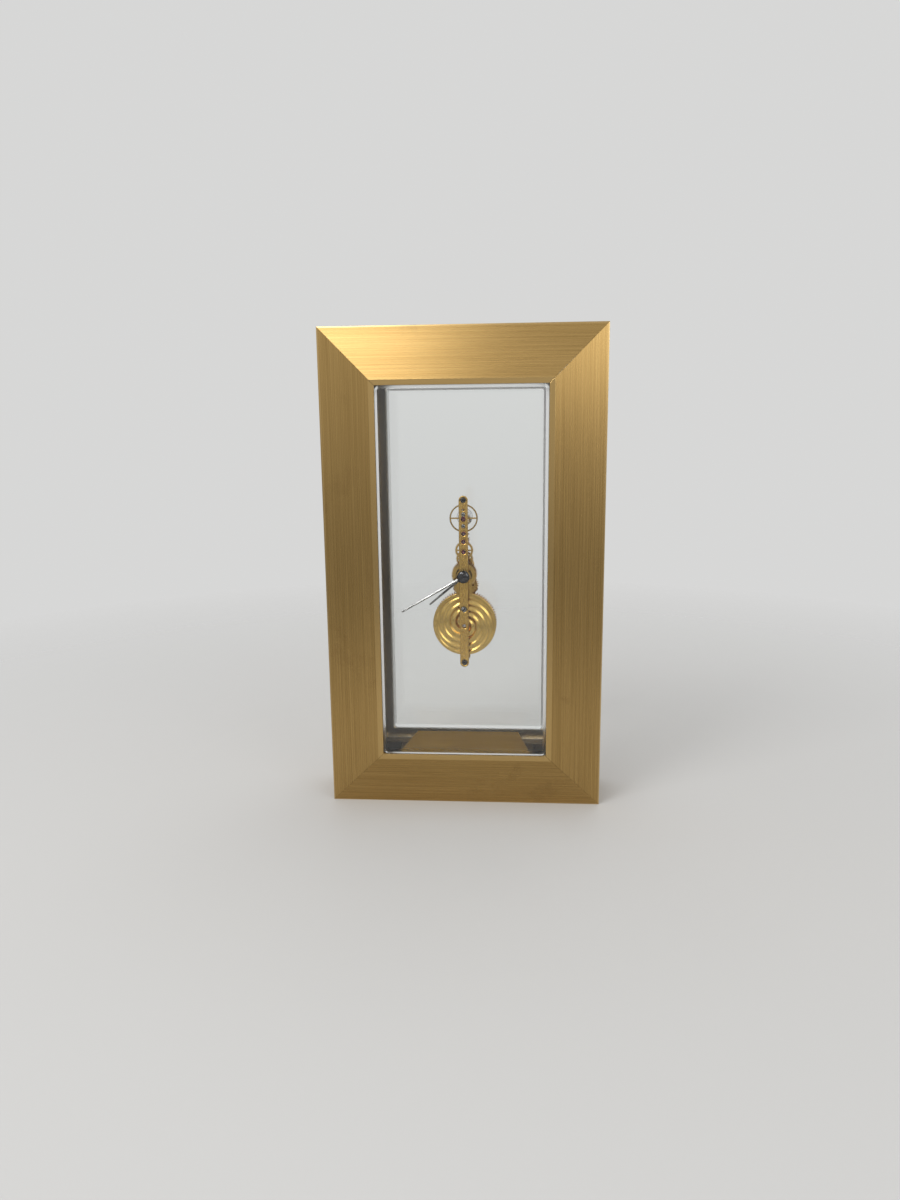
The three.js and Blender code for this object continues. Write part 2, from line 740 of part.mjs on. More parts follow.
// Pillars and the screws at both ends: the upper one stands on the head, the lower one on the rear bar
const boltRadius = screwShankRadius + shaftClearance;
const studEnd = rearBack + studReach;
[
  ["top", topScrewAxis, bridgeFront, bridgeBack, headHalf, headFront, headBack, screwReach / 2],
  ["bottom", bottomScrewAxis, barrelBridgeFront, barrelBridgeBack, pillarRadius, rearFront, studEnd],
].forEach(([end, axis, barFront, barBack, radius, seat, tip, boreDepth = screwReach]) => {
  const pillarFront = barBack + seatGap;
  const pillar = shaft(pillarFront, [[radius, seat - seatGap], [pillarStud, tip]], 14);
  const threaded = shaft(pillarFront - 1, [[boltRadius, pillarFront + boreDepth]], 14);
  place(end + "_pillar", cut(pillar, threaded), gilt, movement, axis);
  const headTop = barFront - seatGap - screwHeadHeight;
  const screw = slottedScrew(screwHeadRadius, screwHeadHeight, screwShankRadius, headTop, screwReach);
  place(end + "_bridge_screw", screw, blued, movement, axis);
});

// Stand-offs on the rear plate: the upper one has its own stud, the lower one takes the stud of the pillar
const standoffFront = rearBack + seatGap;
const standoffBack = plateInner - seatGap;
const backHole = shaft(standoffBack - mountReach, [[boltRadius, standoffBack + 1]], 14);
const frontHole = shaft(standoffFront - 1, [[pillarStud + shaftClearance, studEnd + seatGap]], 14);
const studded = shaft(rearFront + seatGap, [[pillarStud, standoffFront], [standoffRadius, standoffBack]], 16);
const plainStandoff = shaft(standoffFront, [[standoffRadius, standoffBack]], 16);
[
  ["top", topMountAxis, cut(studded, backHole)],
  ["bottom", bottomScrewAxis, cut(plainStandoff, frontHole, backHole)],
].forEach(([end, axis, standoff]) => {
  place(end + "_standoff", standoff, gilt, movement, axis);
  const mountHead = plateFace - mountSink + seatGap + mountHeadHeight;
  const mountLength = mountHead - mountHeadHeight - standoffBack + mountReach - seatGap;
  const mount = slottedScrew(mountHeadRadius, mountHeadHeight, screwShankRadius, -mountHead, mountLength);
  place(end + "_mount_screw", mount.rotateZ(Math.PI), steel, movement, axis);
});
const middleHead = bridgeFront - seatGap - screwHeadHeight;
const middleScrew = slottedScrew(
  screwHeadRadius,
  screwHeadHeight,
  screwShankRadius,
  middleHead,
  bridgeThickness + middleReach,
);
place("middle_bridge_screw", middleScrew, steel, movement, middleScrewAxis);

// Jewels in the front bar, and the end piece of the balance with its two screws
Object.entries(jewelAxes).forEach(([name, axis]) => {
  const [ringFront, ringBack] = [bridgeFront + jewelInset, bridgeBack - jewelInset];
  place(name, pipe(pivotRadius + shaftClearance, jewelRadius, ringFront, ringBack), ruby, movement, axis);
});
const capShape = new THREE.Shape(uprightSlot(capJewelWidth, capJewelLength, 0));
capShape.holes.push(hole(pivotRadius + shaftClearance, centreAxis, 8));
const capJewel = slab(capShape, bridgeFront + jewelInset, bridgeBack - jewelInset);
place("balance_jewel", capJewel, ruby, movement, balanceAxis);
capScrewAxes.forEach((axis, i) => {
  const front = bridgeFront - jewelInset;
  const screw = shaft(front, [[capScrewRadius, bridgeBack - jewelInset]], 8);
  place(i ? "lower_jewel_screw" : "upper_jewel_screw", screw, blued, movement, axis);
});

// Hands: a tapered baton on a round hub, pointing up before it is turned to the time
function handGeometry(length, bore, front) {
  const hub = arc(handHubRadius, Math.PI / 2 + 0.25, tau + Math.PI / 2 - 0.25, 12);
  const tip = [new THREE.Vector2(handTipWidth / 2, length), new THREE.Vector2(-handTipWidth / 2, length)];
  const root = Math.sqrt(handHubRadius ** 2 - (handWidth / 2) ** 2);
  const outline = [
    ...hub,
    new THREE.Vector2(handWidth / 2, root + handHubRadius / 4),
    ...tip,
    new THREE.Vector2(-handWidth / 2, root + handHubRadius / 4),
  ];
  const shape = new THREE.Shape(outline);
  shape.holes.push(hole(bore));
  return slab(shape, front, front + handThickness);
}

const minuteAngle = (shownMinute / 60) * tau;
const hourAngle = ((shownHour + shownMinute / 60) / 12) * tau;
const minuteHand = handGeometry(minuteHandLength, cannonRadius + shaftClearance, minuteFront);
place("minute_hand", minuteHand.rotateY(minuteAngle), steel);
const hourHand = handGeometry(hourHandLength, hourPipeRadius + shaftClearance, hourFront);
place("hour_hand", hourHand.rotateY(hourAngle), steel);
const nutBore = (cannonRadius + shaftClearance) / Math.cos(Math.PI / 14);
const nutHoleFront = nutFront + nutHeight / 2;
const dome = Array.from({ length: 6 }, (unused, i) => {
  const share = Math.sin((i / 5) * (Math.PI / 2));
  return [nutRadius * share, nutBack - nutRim - (nutHeight - nutRim) * Math.sqrt(1 - share ** 2)];
});
const nutInside = [[nutRadius, nutBack], [nutBore, nutBack], [nutBore, nutHoleFront], [0, nutHoleFront]];
place("hand_nut", turned([...dome, ...nutInside], 20), steel);

// Motion works: minute arbor with its leaves, motion wheel on its post, hour wheel with its pipe
const cannonPair = gearPair(motionAxis, centreAxis, motionTeeth, cannonLeaves);
const hourPair = gearPair(centreAxis, motionAxis, hourTeeth, motionLeaves);
const arborSteps = [[cannonRadius, motionBack + runGap / 2], [minuteArborRadius, knobBack - seatGap]];
const minuteShaft = shaft(nutHoleFront + seatGap, arborSteps, 14);
const cannonShape = toothed(cannonLeaves, cannonPair.pinionRadius, cannonPair.pinionTooth);
place("minute_arbor", join(minuteShaft, slab(cannonShape, motionFront, motionBack)), steel);
const hourShape = toothed(hourTeeth, hourPair.wheelRadius, hourPair.wheelTooth);
hourShape.holes.push(hole(cannonRadius + shaftClearance, centreAxis, 10));
const hourDisc = slab(hourShape, hourWheelFront, hourWheelBack);
const hourPipeBack = hourWheelFront + motionThickness / 2;
const hourPipe = pipe(cannonRadius + shaftClearance, hourPipeRadius, hourFront, hourPipeBack);
place("hour_wheel", join(hourDisc, hourPipe), gilt);
const motionShape = toothed(motionTeeth, cannonPair.wheelRadius, cannonPair.wheelTooth);
motionShape.holes.push(hole(postRadius + shaftClearance));
const motionPinion = toothed(motionLeaves, hourPair.pinionRadius, hourPair.pinionTooth);
motionPinion.holes.push(hole(postRadius + shaftClearance));
const motionWheel = join(
  slab(motionShape, motionFront, motionBack),
  slab(motionPinion, hourWheelFront, motionFront + motionThickness / 2),
);
place("motion_wheel", motionWheel, gilt, movement, motionAxis);

// Going train: each wheel sits on the arbor or pipe of its pinion
const barrelPair = gearPair(barrelAxis, intermediateAxis, barrelTeeth, intermediateLeaves);
const intermediatePair = gearPair(intermediateAxis, centreAxis, intermediateTeeth, centreLeaves);
const centrePair = gearPair(centreAxis, thirdAxis, centreTeeth, thirdLeaves);
const thirdPair = gearPair(thirdAxis, fourthAxis, thirdTeeth, fourthLeaves);
const fourthPair = gearPair(fourthAxis, escapeAxis, fourthTeeth, escapeLeaves);

// Leaves on a pipe that turns on a fixed post or shaft.
function pipePinion(leaves, pair, leafFront, leafBack, bore, radius, front, back) {
  const shape = toothed(leaves, pair.pinionRadius, pair.pinionTooth);
  shape.holes.push(hole(bore));
  return join(slab(shape, leafFront, leafBack), pipe(bore, radius, front, back));
}

const postBore = postRadius + shaftClearance;
const intermediatePinion = pipePinion(
  intermediateLeaves,
  barrelPair,
  toothRingFront - leafOverhang / 2,
  toothRingBack + leafOverhang / 2,
  postBore,
  postPipeRadius,
  toothRingFront - leafOverhang,
  intermediateBack + seatGap,
);
place("intermediate_pinion", intermediatePinion, gilt, movement, intermediateAxis);
const pipeBore = postPipeRadius + shaftClearance;
const intermediateWheel = trainWheel(intermediateTeeth, intermediatePair, intermediateFront, pipeBore);
place("intermediate_wheel", intermediateWheel, gilt, movement, intermediateAxis);

const centrePinion = pipePinion(
  centreLeaves,
  intermediatePair,
  intermediateFront - leafOverhang / 2,
  intermediateBack + leafOverhang / 2,
  minuteArborRadius + shaftClearance,
  centrePipeRadius,
  centreFront - leafOverhang,
  intermediateBack,
);
place("centre_pinion", centrePinion, steel);
const centreBore = centrePipeRadius + shaftClearance;
const centreWheel = trainWheel(centreTeeth, centrePair, centreFront, centreBore);
place("centre_wheel", centreWheel, gilt);

const thirdPinion = pipePinion(
  thirdLeaves,
  centrePair,
  thirdLeafFront,
  thirdLeafBack,
  thirdPostRadius + shaftClearance,
  thirdPipeRadius,
  thirdLeafFront,
  thirdBack + leafOverhang,
);
const thirdBore = thirdPostRadius + shaftClearance;
const thirdDisc = trainWheel(thirdTeeth, thirdPair, thirdFront, thirdBore);
place("third_wheel", join(thirdPinion, thirdDisc), gilt, movement, thirdAxis);

// An arbor with a pivot at each end, and leaves that reach past the wheel they meet.
function pinionArbor(leaves, pair, wheelFront, wheelBack) {
  const front = bridgeBack + seatGap - jewelInset;
  const ends = [[pivotRadius, front + seatGap + jewelInset], [arborRadius, rearFront - seatGap * 2]];
  const arbor = shaft(front - pivotReach, [...ends, [pivotRadius, rearFront + pivotReach]], 10);
  const leafShape = toothed(leaves, pair.pinionRadius, pair.pinionTooth);
  return join(arbor, slab(leafShape, wheelFront - leafOverhang, wheelBack + leafOverhang));
}

const fourthArbor = pinionArbor(fourthLeaves, thirdPair, thirdFront, thirdBack);
place("fourth_pinion", fourthArbor, steel, movement, fourthAxis);
const arborBore = arborRadius + shaftClearance;
const fourthWheel = trainWheel(fourthTeeth, fourthPair, fourthFront, arborBore);
place("fourth_wheel", fourthWheel, gilt, movement, fourthAxis);

const escapeArbor = pinionArbor(escapeLeaves, fourthPair, fourthFront, fourthBack);

// A wheel of slanted teeth, each steep on one side.
function sawShape(teeth, radius, toothDepth) {
  const points = [];
  for (let i = 0; i < teeth; i += 1) {
    const angle = (i * tau) / teeth;
    const heel = angle + (sawUndercut * tau) / teeth;
    points.push(...arc(radius, angle, angle, 1).slice(1));
    points.push(...arc(radius - toothDepth, heel, heel, 1).slice(1));
  }
  return new THREE.Shape(points);
}

const escapeShape = sawShape(escapeTeeth, escapeRadius, escapeToothDepth);
const escapeRim = escapeRadius - escapeToothDepth - armWidth;
crossOut(escapeShape, wheelHub - armWidth, escapeRim, escapeArms, armWidth);
const escapeWheel = join(slab(escapeShape, escapeFront, escapeBack), escapeArbor);
place("escape_wheel", escapeWheel, gilt, movement, escapeAxis);

// Lever: two arms over the escape wheel and a fork towards the roller
const leverReach = balanceAxis.y - palletAxis.y - rollerRadius - forkGap;
const armReach = (palletAxis.y - escapeAxis.y) * palletReachShare;
const armDrop = (palletAxis.y - escapeAxis.y) * palletDropShare;
const leverRight = [
  [0, -bellyDrop],
  [shoulderHalf, -bellyDrop],
  [armReach - leverHalfWidth, -armDrop],
  [armReach + leverHalfWidth, -armDrop + leverHalfWidth],
  [shoulderHalf, shoulderRise],
  [leverHalfWidth, neckRise],
  [leverHalfWidth, leverReach - forkLength],
  [forkHalfWidth, leverReach - forkHalfWidth],
  [forkHalfWidth, leverReach],
  [forkNotch, leverReach],
  [forkNotch, leverReach - forkHalfWidth],
];
const leverLeft = leverRight.slice(1).map(([x, z]) => [-x, z]).reverse();
const leverShape = new THREE.Shape([...leverRight, ...leverLeft].map(([x, z]) => new THREE.Vector2(x, z)));
const palletArbor = shaft(bridgeBack - jewelInset - pivotReach, [
  [pivotRadius, bridgeBack + seatGap],
  [palletArborRadius, rearFront - seatGap],
  [pivotRadius, rearFront + pivotReach],
], 10);
const lever = join(slab(leverShape, escapeFront, escapeBack), palletArbor);
place("pallet_lever", lever, steel, movement, palletAxis);

// Balance: a thin rim on two arms, its staff with the roller
const balanceShape = disc(balanceRadius, 40);
crossOut(balanceShape, balanceHub, balanceRadius - balanceRim, 2, armWidth);
balanceShape.holes.push(hole(staffRadius + shaftClearance));
place("balance_wheel", slab(balanceShape, balanceFront, balanceBack), gilt, movement, balanceAxis);
const staff = shaft(bridgeBack - jewelInset - pivotReach, [
  [pivotRadius, bridgeBack + seatGap * 2],
  [staffRadius, escapeFront - leafOverhang / 2],
  [rollerRadius, escapeBack + leafOverhang / 2],
  [staffRadius, rearFront - seatGap * 2],
  [pivotRadius, rearFront + pivotReach],
], 16);
place("balance_staff", staff, steel, movement, balanceAxis);

// Barrel: toothed drum, cover, wound spring and arbor
const barrelRing = toothed(barrelTeeth, barrelPair.wheelRadius, barrelPair.wheelTooth);
const drumInner = drumRadius - drumWall;
barrelRing.holes.push(hole(drumInner, centreAxis, drumSides));
const shaftBore = (barrelShaft + shaftClearance) / Math.cos(Math.PI / drumSides);
const drumInside = drumInner / Math.cos(Math.PI / drumSides);
const drum = turned([
  [drumInside, drumFront],
  [drumRadius, drumFront],
  [drumRadius, drumBack],
  [shaftBore, drumBack],
  [shaftBore, drumBack - drumWall],
  [drumInside, drumBack - drumWall],
  [drumInside, drumFront],
], drumSides);
place("barrel_drum", join(slab(barrelRing, toothRingFront, toothRingBack), drum), gilt, movement, barrelAxis);
const coverBore = (barrelFrontPivot + shaftClearance) / Math.cos(Math.PI / drumSides);
const spigotRadius = drumInner - shaftClearance;
const cover = turned([
  [coverBore, coverFront],
  [coverRadius, coverFront],
  [coverRadius, coverBack],
  [spigotRadius, coverBack],
  [spigotRadius, coverBack + coverSpigot],
  [coverBore, coverBack + coverSpigot],
  [coverBore, coverFront],
], drumSides);
place("barrel_cover", cover, gilt, movement, barrelAxis);
const springFront = coverBack + coverSpigot + runGap;
const springBack = drumBack - drumWall - runGap;
const mainspring = spiralSpring({
  inner: barrelHub + springEndGap + mainspringThickness / 2,
  pitch: mainspringPitch,
  turns: mainspringTurns,
  thickness: mainspringThickness,
  front: springFront,
  back: springBack,
  endAngle: 0,
  steps: 12,
});
place("mainspring", mainspring.geometry, steel, movement, barrelAxis);
const barrelArbor = shaft(barrelBridgeFront + seatGap, [
  [barrelFrontPivot, coverBack + coverSpigot + seatGap],
  [barrelHub, drumBack - drumWall - seatGap],
  [barrelShaft, keyBack - seatGap],
], 18);
place("barrel_arbor", barrelArbor, steel, movement, barrelAxis);

// Ratchet, click and click spring on the back of the rear bar
const ratchetShape = sawShape(ratchetTeeth, ratchetRadius, ratchetToothDepth);
ratchetShape.holes.push(hole(barrelShaft + shaftClearance, centreAxis, 18));
place("ratchet_wheel", slab(ratchetShape, ratchetFront, ratchetBack), steel, movement, barrelAxis);
const beakHeight = -clickPivotGap + holeClearance;
const clickOutline = [
  ...arc(clickHubRadius, 0, Math.PI, 8),
  new THREE.Vector2(-clickNeck, beakHeight / 2),
  new THREE.Vector2(0, beakHeight),
  new THREE.Vector2(clickNeck, beakHeight + clickNeck),
];
const clickShape = new THREE.Shape(clickOutline);
clickShape.holes.push(hole(clickScrewRadius + shaftClearance));
place("click", slab(clickShape, ratchetFront, ratchetBack), steel, movement, clickAxis);
const clickShank = ratchetBack - rearFront;
const clickHeadFace = -ratchetBack - seatGap - screwHeadHeight;
const clickScrew = slottedScrew(
  clickHeadRadius,
  screwHeadHeight,
  clickScrewRadius,
  clickHeadFace,
  clickShank,
);
place("click_screw", clickScrew.rotateZ(Math.PI), blued, movement, clickAxis);
const eye = clickHeadRadius + clickSpringThickness;
const bladeEnd = -springStudGap + clickHubRadius / 2;
const bladeInner = clickHubRadius + seatGap * 2;
const springShape = new THREE.Shape([
  ...arc(eye, 0, Math.PI * 1.5, 10),
  new THREE.Vector2(bladeInner, -eye),
  new THREE.Vector2(bladeInner, bladeEnd),
  new THREE.Vector2(bladeInner + clickSpringThickness, bladeEnd),
  new THREE.Vector2(bladeInner + clickSpringThickness, -eye + clickSpringThickness),
]);
springShape.holes.push(hole(clickScrewRadius + shaftClearance));
place("click_spring", slab(springShape, ratchetFront, ratchetBack), steel, movement, springStudAxis);

// Winding key and setting knob
const keyBore = barrelShaft + shaftClearance;
const keyHub = pipe(keyBore, keyHubRadius, keyFront, keyBack, 16);
const wingShape = roundedRectangle(keyWingLength, keyWingHeight, keyWingCorner);
[-1, 1].forEach((side) => {
  wingShape.holes.push(hole(keyEyeRadius, new THREE.Vector2(side * keyEyeReach, 0), 12));
});
const wingBlade = new THREE.ExtrudeGeometry(wingShape, { depth: keyWingThickness, bevelEnabled: false });
wingBlade.translate(0, keyBack - keyWingHeight / 2, -keyWingThickness / 2);
const keyTool = shaft(keyFront - 1, [[keyBore / Math.cos(Math.PI / 16), keyBack + 1]], 16);
place("winding_key", cut(join(keyHub, wingBlade), keyTool), gilt, movement, barrelAxis);
const knob = pipe(minuteArborRadius + shaftClearance, knobRadius, keyFront, knobBack, 20);
place("setting_knob", knob, gilt);

console.log("least gap in the hairspring " + hairspring.gap.toFixed(2) + " mm");
console.log("least gap in the mainspring " + mainspring.gap.toFixed(2) + " mm");

export default clock;
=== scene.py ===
import bpy
import json
import math
from mathutils import Matrix, Vector

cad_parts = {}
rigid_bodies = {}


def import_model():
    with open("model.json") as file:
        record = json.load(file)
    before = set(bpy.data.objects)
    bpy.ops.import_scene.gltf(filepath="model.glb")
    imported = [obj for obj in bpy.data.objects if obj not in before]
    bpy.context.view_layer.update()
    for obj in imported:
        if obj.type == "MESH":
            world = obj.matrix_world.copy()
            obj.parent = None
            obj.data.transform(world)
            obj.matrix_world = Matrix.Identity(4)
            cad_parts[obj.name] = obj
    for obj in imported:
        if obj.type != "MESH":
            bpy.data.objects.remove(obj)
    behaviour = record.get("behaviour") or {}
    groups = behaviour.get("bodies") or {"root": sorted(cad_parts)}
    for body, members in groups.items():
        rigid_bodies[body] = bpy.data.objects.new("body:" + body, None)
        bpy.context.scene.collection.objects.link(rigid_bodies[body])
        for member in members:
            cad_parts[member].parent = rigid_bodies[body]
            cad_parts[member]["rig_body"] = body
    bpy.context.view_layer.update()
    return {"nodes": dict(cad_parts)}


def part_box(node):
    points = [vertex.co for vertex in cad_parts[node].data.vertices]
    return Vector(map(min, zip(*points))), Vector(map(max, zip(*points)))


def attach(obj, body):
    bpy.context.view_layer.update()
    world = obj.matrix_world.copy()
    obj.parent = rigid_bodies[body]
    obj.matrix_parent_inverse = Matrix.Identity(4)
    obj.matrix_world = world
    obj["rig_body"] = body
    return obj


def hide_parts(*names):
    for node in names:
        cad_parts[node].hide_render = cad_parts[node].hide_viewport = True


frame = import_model()
mm = 0.001
fullTurn = 2 * math.pi
weldGap = 1e-6  # metres, points nearer than this are one point
toolReach, sinkReach = 1.0, 0.5  # millimetres, how far a cutting tool stands out of the piece
print("frame loaded:", len(frame["nodes"]), "nodes")


class Values(dict):  # a dictionary that is also read with dots
    __getattr__ = dict.__getitem__


sides = Values(pin=20, post=24, hub=32, usual=40, body=48, ring=64, rim=96)  # round a turned piece


# Where things are, in millimetres
nutLow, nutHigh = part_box("hand_nut")
handsHeight = (nutLow.z + nutHigh.z) / 2 / mm


def axisAt(sideways, above):  # measured from the centre of the hands
    return Vector((sideways, 0, handsHeight + above))


heights = Values(
    bottomScrew=-39.35, barrel=-22.4, middleScrew=-14.85, click=-13.4, springStud=-10.0, motion=-6.25,
    centre=0, third=6.2, fourth=10.5, escape=14.9, pallet=18.4, topMount=21.4, balance=24.8,
    topPost=30.6, topScrew=32.75, lowerCap=21.7, recess=24.25, upperCap=26.75, dot=28.6,
    springPost=28.9,
)
axes = Values({name: axisAt(0, above) for name, above in heights.items()})
axes["intermediate"] = axisAt(2.6, -5.9)


# Modelling by hand: one object selected, one line drawn, then spun or extruded
def onlyThis(piece=None):
    if bpy.context.object and bpy.context.object.mode != "OBJECT":
        bpy.ops.object.mode_set(mode="OBJECT")
    bpy.ops.object.select_all(action="DESELECT")
    if piece:
        piece.select_set(True)
        bpy.context.view_layer.objects.active = piece
    return piece


def selectAll():
    bpy.ops.mesh.select_all(action="SELECT")


def editAll(piece):
    onlyThis(piece)
    bpy.ops.object.mode_set(mode="EDIT")
    selectAll()


def extrude(step):
    bpy.ops.mesh.extrude_region_move(TRANSFORM_OT_translate={"value": Vector(step) * mm})


def startLine(points):
    onlyThis()
    bpy.ops.mesh.primitive_plane_add(size=mm)
    piece = bpy.context.object
    editAll(piece)
    bpy.ops.mesh.merge(type="CENTER")  # one loose point to extrude from
    bpy.ops.transform.translate(value=Vector(points[0]) * mm)
    for start, end in zip(points, points[1:]):
        extrude(Vector(end) - Vector(start))
    selectAll()
    return piece


def closeMesh(piece):
    selectAll()
    bpy.ops.mesh.remove_doubles(threshold=weldGap)
    bpy.ops.mesh.normals_make_consistent(inside=False)
    return onlyThis(piece)


def turned(axis, profile, steps=sides.body):  # profile: radius and depth, along the depth axis
    piece = startLine([(axis.x + radius, depth, axis.z) for radius, depth in profile])
    bpy.ops.mesh.spin(steps=steps, angle=fullTurn, center=axis * mm, axis=(0, 1, 0))
    return closeMesh(piece)


def slab(outline, step, axis=None, copies=1):  # a filled outline, copied round an axis, made thick
    piece = startLine(outline)
    bpy.ops.mesh.edge_face_add()
    selectAll()
    if copies > 1:
        reach = fullTurn * (copies - 1) / copies
        bpy.ops.mesh.spin(steps=copies - 1, dupli=True, angle=reach, center=axis * mm, axis=(0, 1, 0))
        selectAll()
        bpy.ops.mesh.remove_doubles(threshold=weldGap)
    extrude(step)
    return closeMesh(piece)


def block(size, place, turnY=0.0):
    onlyThis()
    bpy.ops.mesh.primitive_cube_add(size=1, location=Vector(place) * mm, rotation=(0, turnY, 0))
    piece = bpy.context.object
    piece.scale = Vector(size) * mm
    bpy.ops.object.transform_apply(location=True, rotation=True, scale=True)
    return piece


def modify(piece, kind, **settings):
    onlyThis(piece)
    bpy.ops.object.modifier_add(type=kind)
    step = piece.modifiers[-1]
    for name, value in settings.items():
        setattr(step, name, value)
    bpy.ops.object.modifier_apply(modifier=step.name)
    return piece


def combine(piece, tool, operation):
    modify(piece, "BOOLEAN", operation=operation, solver="EXACT", object=tool)
    bpy.data.objects.remove(tool, do_unlink=True)
    return piece


def cut(piece, tool):
    return combine(piece, tool, "DIFFERENCE")


def weld(piece, *others):
    for other in others:
        combine(piece, other, "UNION")
    return piece


def drill(piece, axis, profile, steps=sides.usual):
    return cut(piece, turned(axis, profile, steps))


def softenEdges(piece, width, segments=2, sharpest=30):
    limit = {"limit_method": "ANGLE", "angle_limit": math.radians(sharpest)}
    return modify(piece, "BEVEL", width=width * mm, segments=segments, **limit)


def applyPlace(piece, place):
    piece.matrix_world = place
    onlyThis(piece)
    bpy.ops.object.transform_apply(location=True, rotation=True, scale=True)
    return piece


def turnAbout(piece, axis, angle):  # clockwise from the front
    there, back = Matrix.Translation(axis * mm), Matrix.Translation(-axis * mm)
    return applyPlace(piece, there @ Matrix.Rotation(angle, 4, "Y") @ back)


def copyOf(piece):
    twin = bpy.data.objects.new("twin", piece.data.copy())
    bpy.context.scene.collection.objects.link(twin)
    return twin


def refined(node, width):  # a CAD solid's shape, merged and given soft edges
    piece = copyOf(frame["nodes"][node])
    piece.data.materials.clear()
    editAll(piece)
    bpy.ops.mesh.remove_doubles(threshold=weldGap)
    bpy.ops.mesh.dissolve_limited(angle_limit=math.radians(1))
    onlyThis(piece)
    return softenEdges(piece, width, 1)


def pieceName(node):
    first, *others = node.split("_")
    return first + "".join(word.title() for word in others)


# A piece passed a slot name stays beside its node, which stays shown; any other hides the node and takes
# its place
def keep(piece, finish, node, slot=None, smoothBelow=25, name=None):
    piece.name = piece.data.name = name or pieceName(node)
    onlyThis(piece)
    bpy.ops.object.shade_smooth_by_angle(angle=math.radians(smoothBelow))
    piece.data.materials.clear()
    piece.data.materials.append(finish)
    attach(piece, frame["nodes"][node]["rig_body"])
    if slot is None:
        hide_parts(node)
    return piece


def eased(radius, front, back, edge):  # the side of a cylinder with both of its edges chamfered
    return [(radius - edge, front), (radius, front + edge), (radius, back - edge), (radius - edge, back)]


def post(axis, radius, root, tip, edge=0.06, steps=sides.post):  # only its tip is chamfered
    side = tip - math.copysign(edge, tip - root)
    profile = [(0, root), (radius, root), (radius, side), (radius - edge, tip), (0, tip)]
    return turned(axis, profile, steps)


def sinkProfile(hole, edge, front, back, depth=None):  # a hole with a chamfered mouth
    sink, depth = hole + edge, depth or edge
    near, far = front - sinkReach, back + sinkReach
    mouth = [(sink + sinkReach * edge / depth, near), (sink, front), (hole, front + depth)]
    return [(0, near)] + mouth + [(hole, far), (0, far)]


def roundedCorners(width, height, corner, steps):  # flat points round a rectangle's middle
    points = []
    for quarter, (across, up) in enumerate(((1, 1), (-1, 1), (-1, -1), (1, -1))):
        spotX, spotY = across * (width / 2 - corner), up * (height / 2 - corner)
        for i in range(steps + 1):
            angle = (quarter + i / steps) * math.pi / 2
            points.append((spotX + corner * math.cos(angle), spotY + corner * math.sin(angle)))
    return points


def polar(axis, radius, angle, depth):
    return Vector((axis.x + radius * math.cos(angle), depth, axis.z + radius * math.sin(angle)))


def arc(axis, radius, start, end, steps, depth):
    return [polar(axis, radius, start + (end - start) * i / steps, depth) for i in range(steps + 1)]


# Shader maths: a wire is one socket, a finish is one material
def operator(operation, swapped=False):
    def run(wire, value):
        pair = (value, wire) if swapped else (wire, value)
        return wire.maths(operation, *pair)

    return run


class Wire:
    def __init__(self, finish, node, socket):
        self.finish, self.node, self.socket = finish, node, socket

    def other(self, name):
        return Wire(self.finish, self.node, self.node.outputs[name])

    def maths(self, operation, *values):
        return self.finish.add("ShaderNodeMath", {"operation": operation}, dict(enumerate(values)))

    def __abs__(self):
        return self.maths("ABSOLUTE", self)

    __add__, __radd__ = operator("ADD"), operator("ADD", True)
    __sub__, __rsub__ = operator("SUBTRACT"), operator("SUBTRACT", True)
    __mul__, __rmul__ = operator("MULTIPLY"), operator("MULTIPLY", True)
    __truediv__, __pow__, __lt__ = operator("DIVIDE"), operator("POWER"), operator("LESS_THAN")
    least, most = operator("MINIMUM"), operator("MAXIMUM")

    def held(self):  # kept between 0 and 1
        return self.least(1.0).most(0.0)

    def between(self, low, high):  # 0 at low, 1 at high
        return ((self - low) / (high - low)).held()


class Finish:
    def __init__(self, name, world=None):
        self.material = world or bpy.data.materials.new(name)
        self.material.use_nodes = True
        self.tree = self.material.node_tree
        self.shader = self.tree.nodes["Background" if world else "Principled BSDF"]

    def add(self, kind, settings=None, sockets=None, out=0):
        node = self.tree.nodes.new(kind)
        for name, value in (settings or {}).items():
            setattr(node, name, value)
        self.fill(node, sockets or {})
        return Wire(self, node, node.outputs[out])

    def fill(self, node, sockets):
        for name, value in sockets.items():
            if isinstance(value, Wire):
                self.tree.links.new(value.socket, node.inputs[name])
            else:
                node.inputs[name].default_value = value

    def surface(self, **sockets):
        self.fill(self.shader, {name.replace("_", " "): value for name, value in sockets.items()})
        return self.material

    def place(self):
        return self.add("ShaderNodeTexCoord", out="Object")

    def parts(self, vector):
        split = self.add("ShaderNodeSeparateXYZ", {}, {0: vector})
        return split, split.other("Y"), split.other("Z")

    def vector(self, x, y, z):
        return self.add("ShaderNodeCombineXYZ", {}, {0: x, 1: y, 2: z})

    def noise(self, vector, scale=1.0, detail=2.0, roughness=0.5):
        sockets = {"Vector": vector, "Scale": scale, "Detail": detail, "Roughness": roughness}
        return self.add("ShaderNodeTexNoise", {}, sockets)

    def grain(self, x, y, z, detail=2.0, roughness=0.6):  # noise drawn out along one way
        return self.noise(self.vector(x, y, z), 1.0, detail, roughness)

    def mix(self, factor, low, high):
        low, high = ((*c, 1.0) if isinstance(c, tuple) else c for c in (low, high))
        return self.add("ShaderNodeMix", {"data_type": "RGBA"}, {0: factor, 6: low, 7: high}, out=2)

    def bump(self, height, strength, distance):
        sockets = {"Height": height, "Strength": strength, "Distance": distance}
        return self.add("ShaderNodeBump", {}, sockets)

    def metal(self, colour, rough, height, strength, distance=0.00001):
        normal = self.bump(height, strength, distance)
        return self.surface(Base_Color=colour, Metallic=1.0, Roughness=rough, Normal=normal)


def newFinish(name):
    finish = Finish(name)
    place = finish.place()
    return finish, place, finish.parts(place)


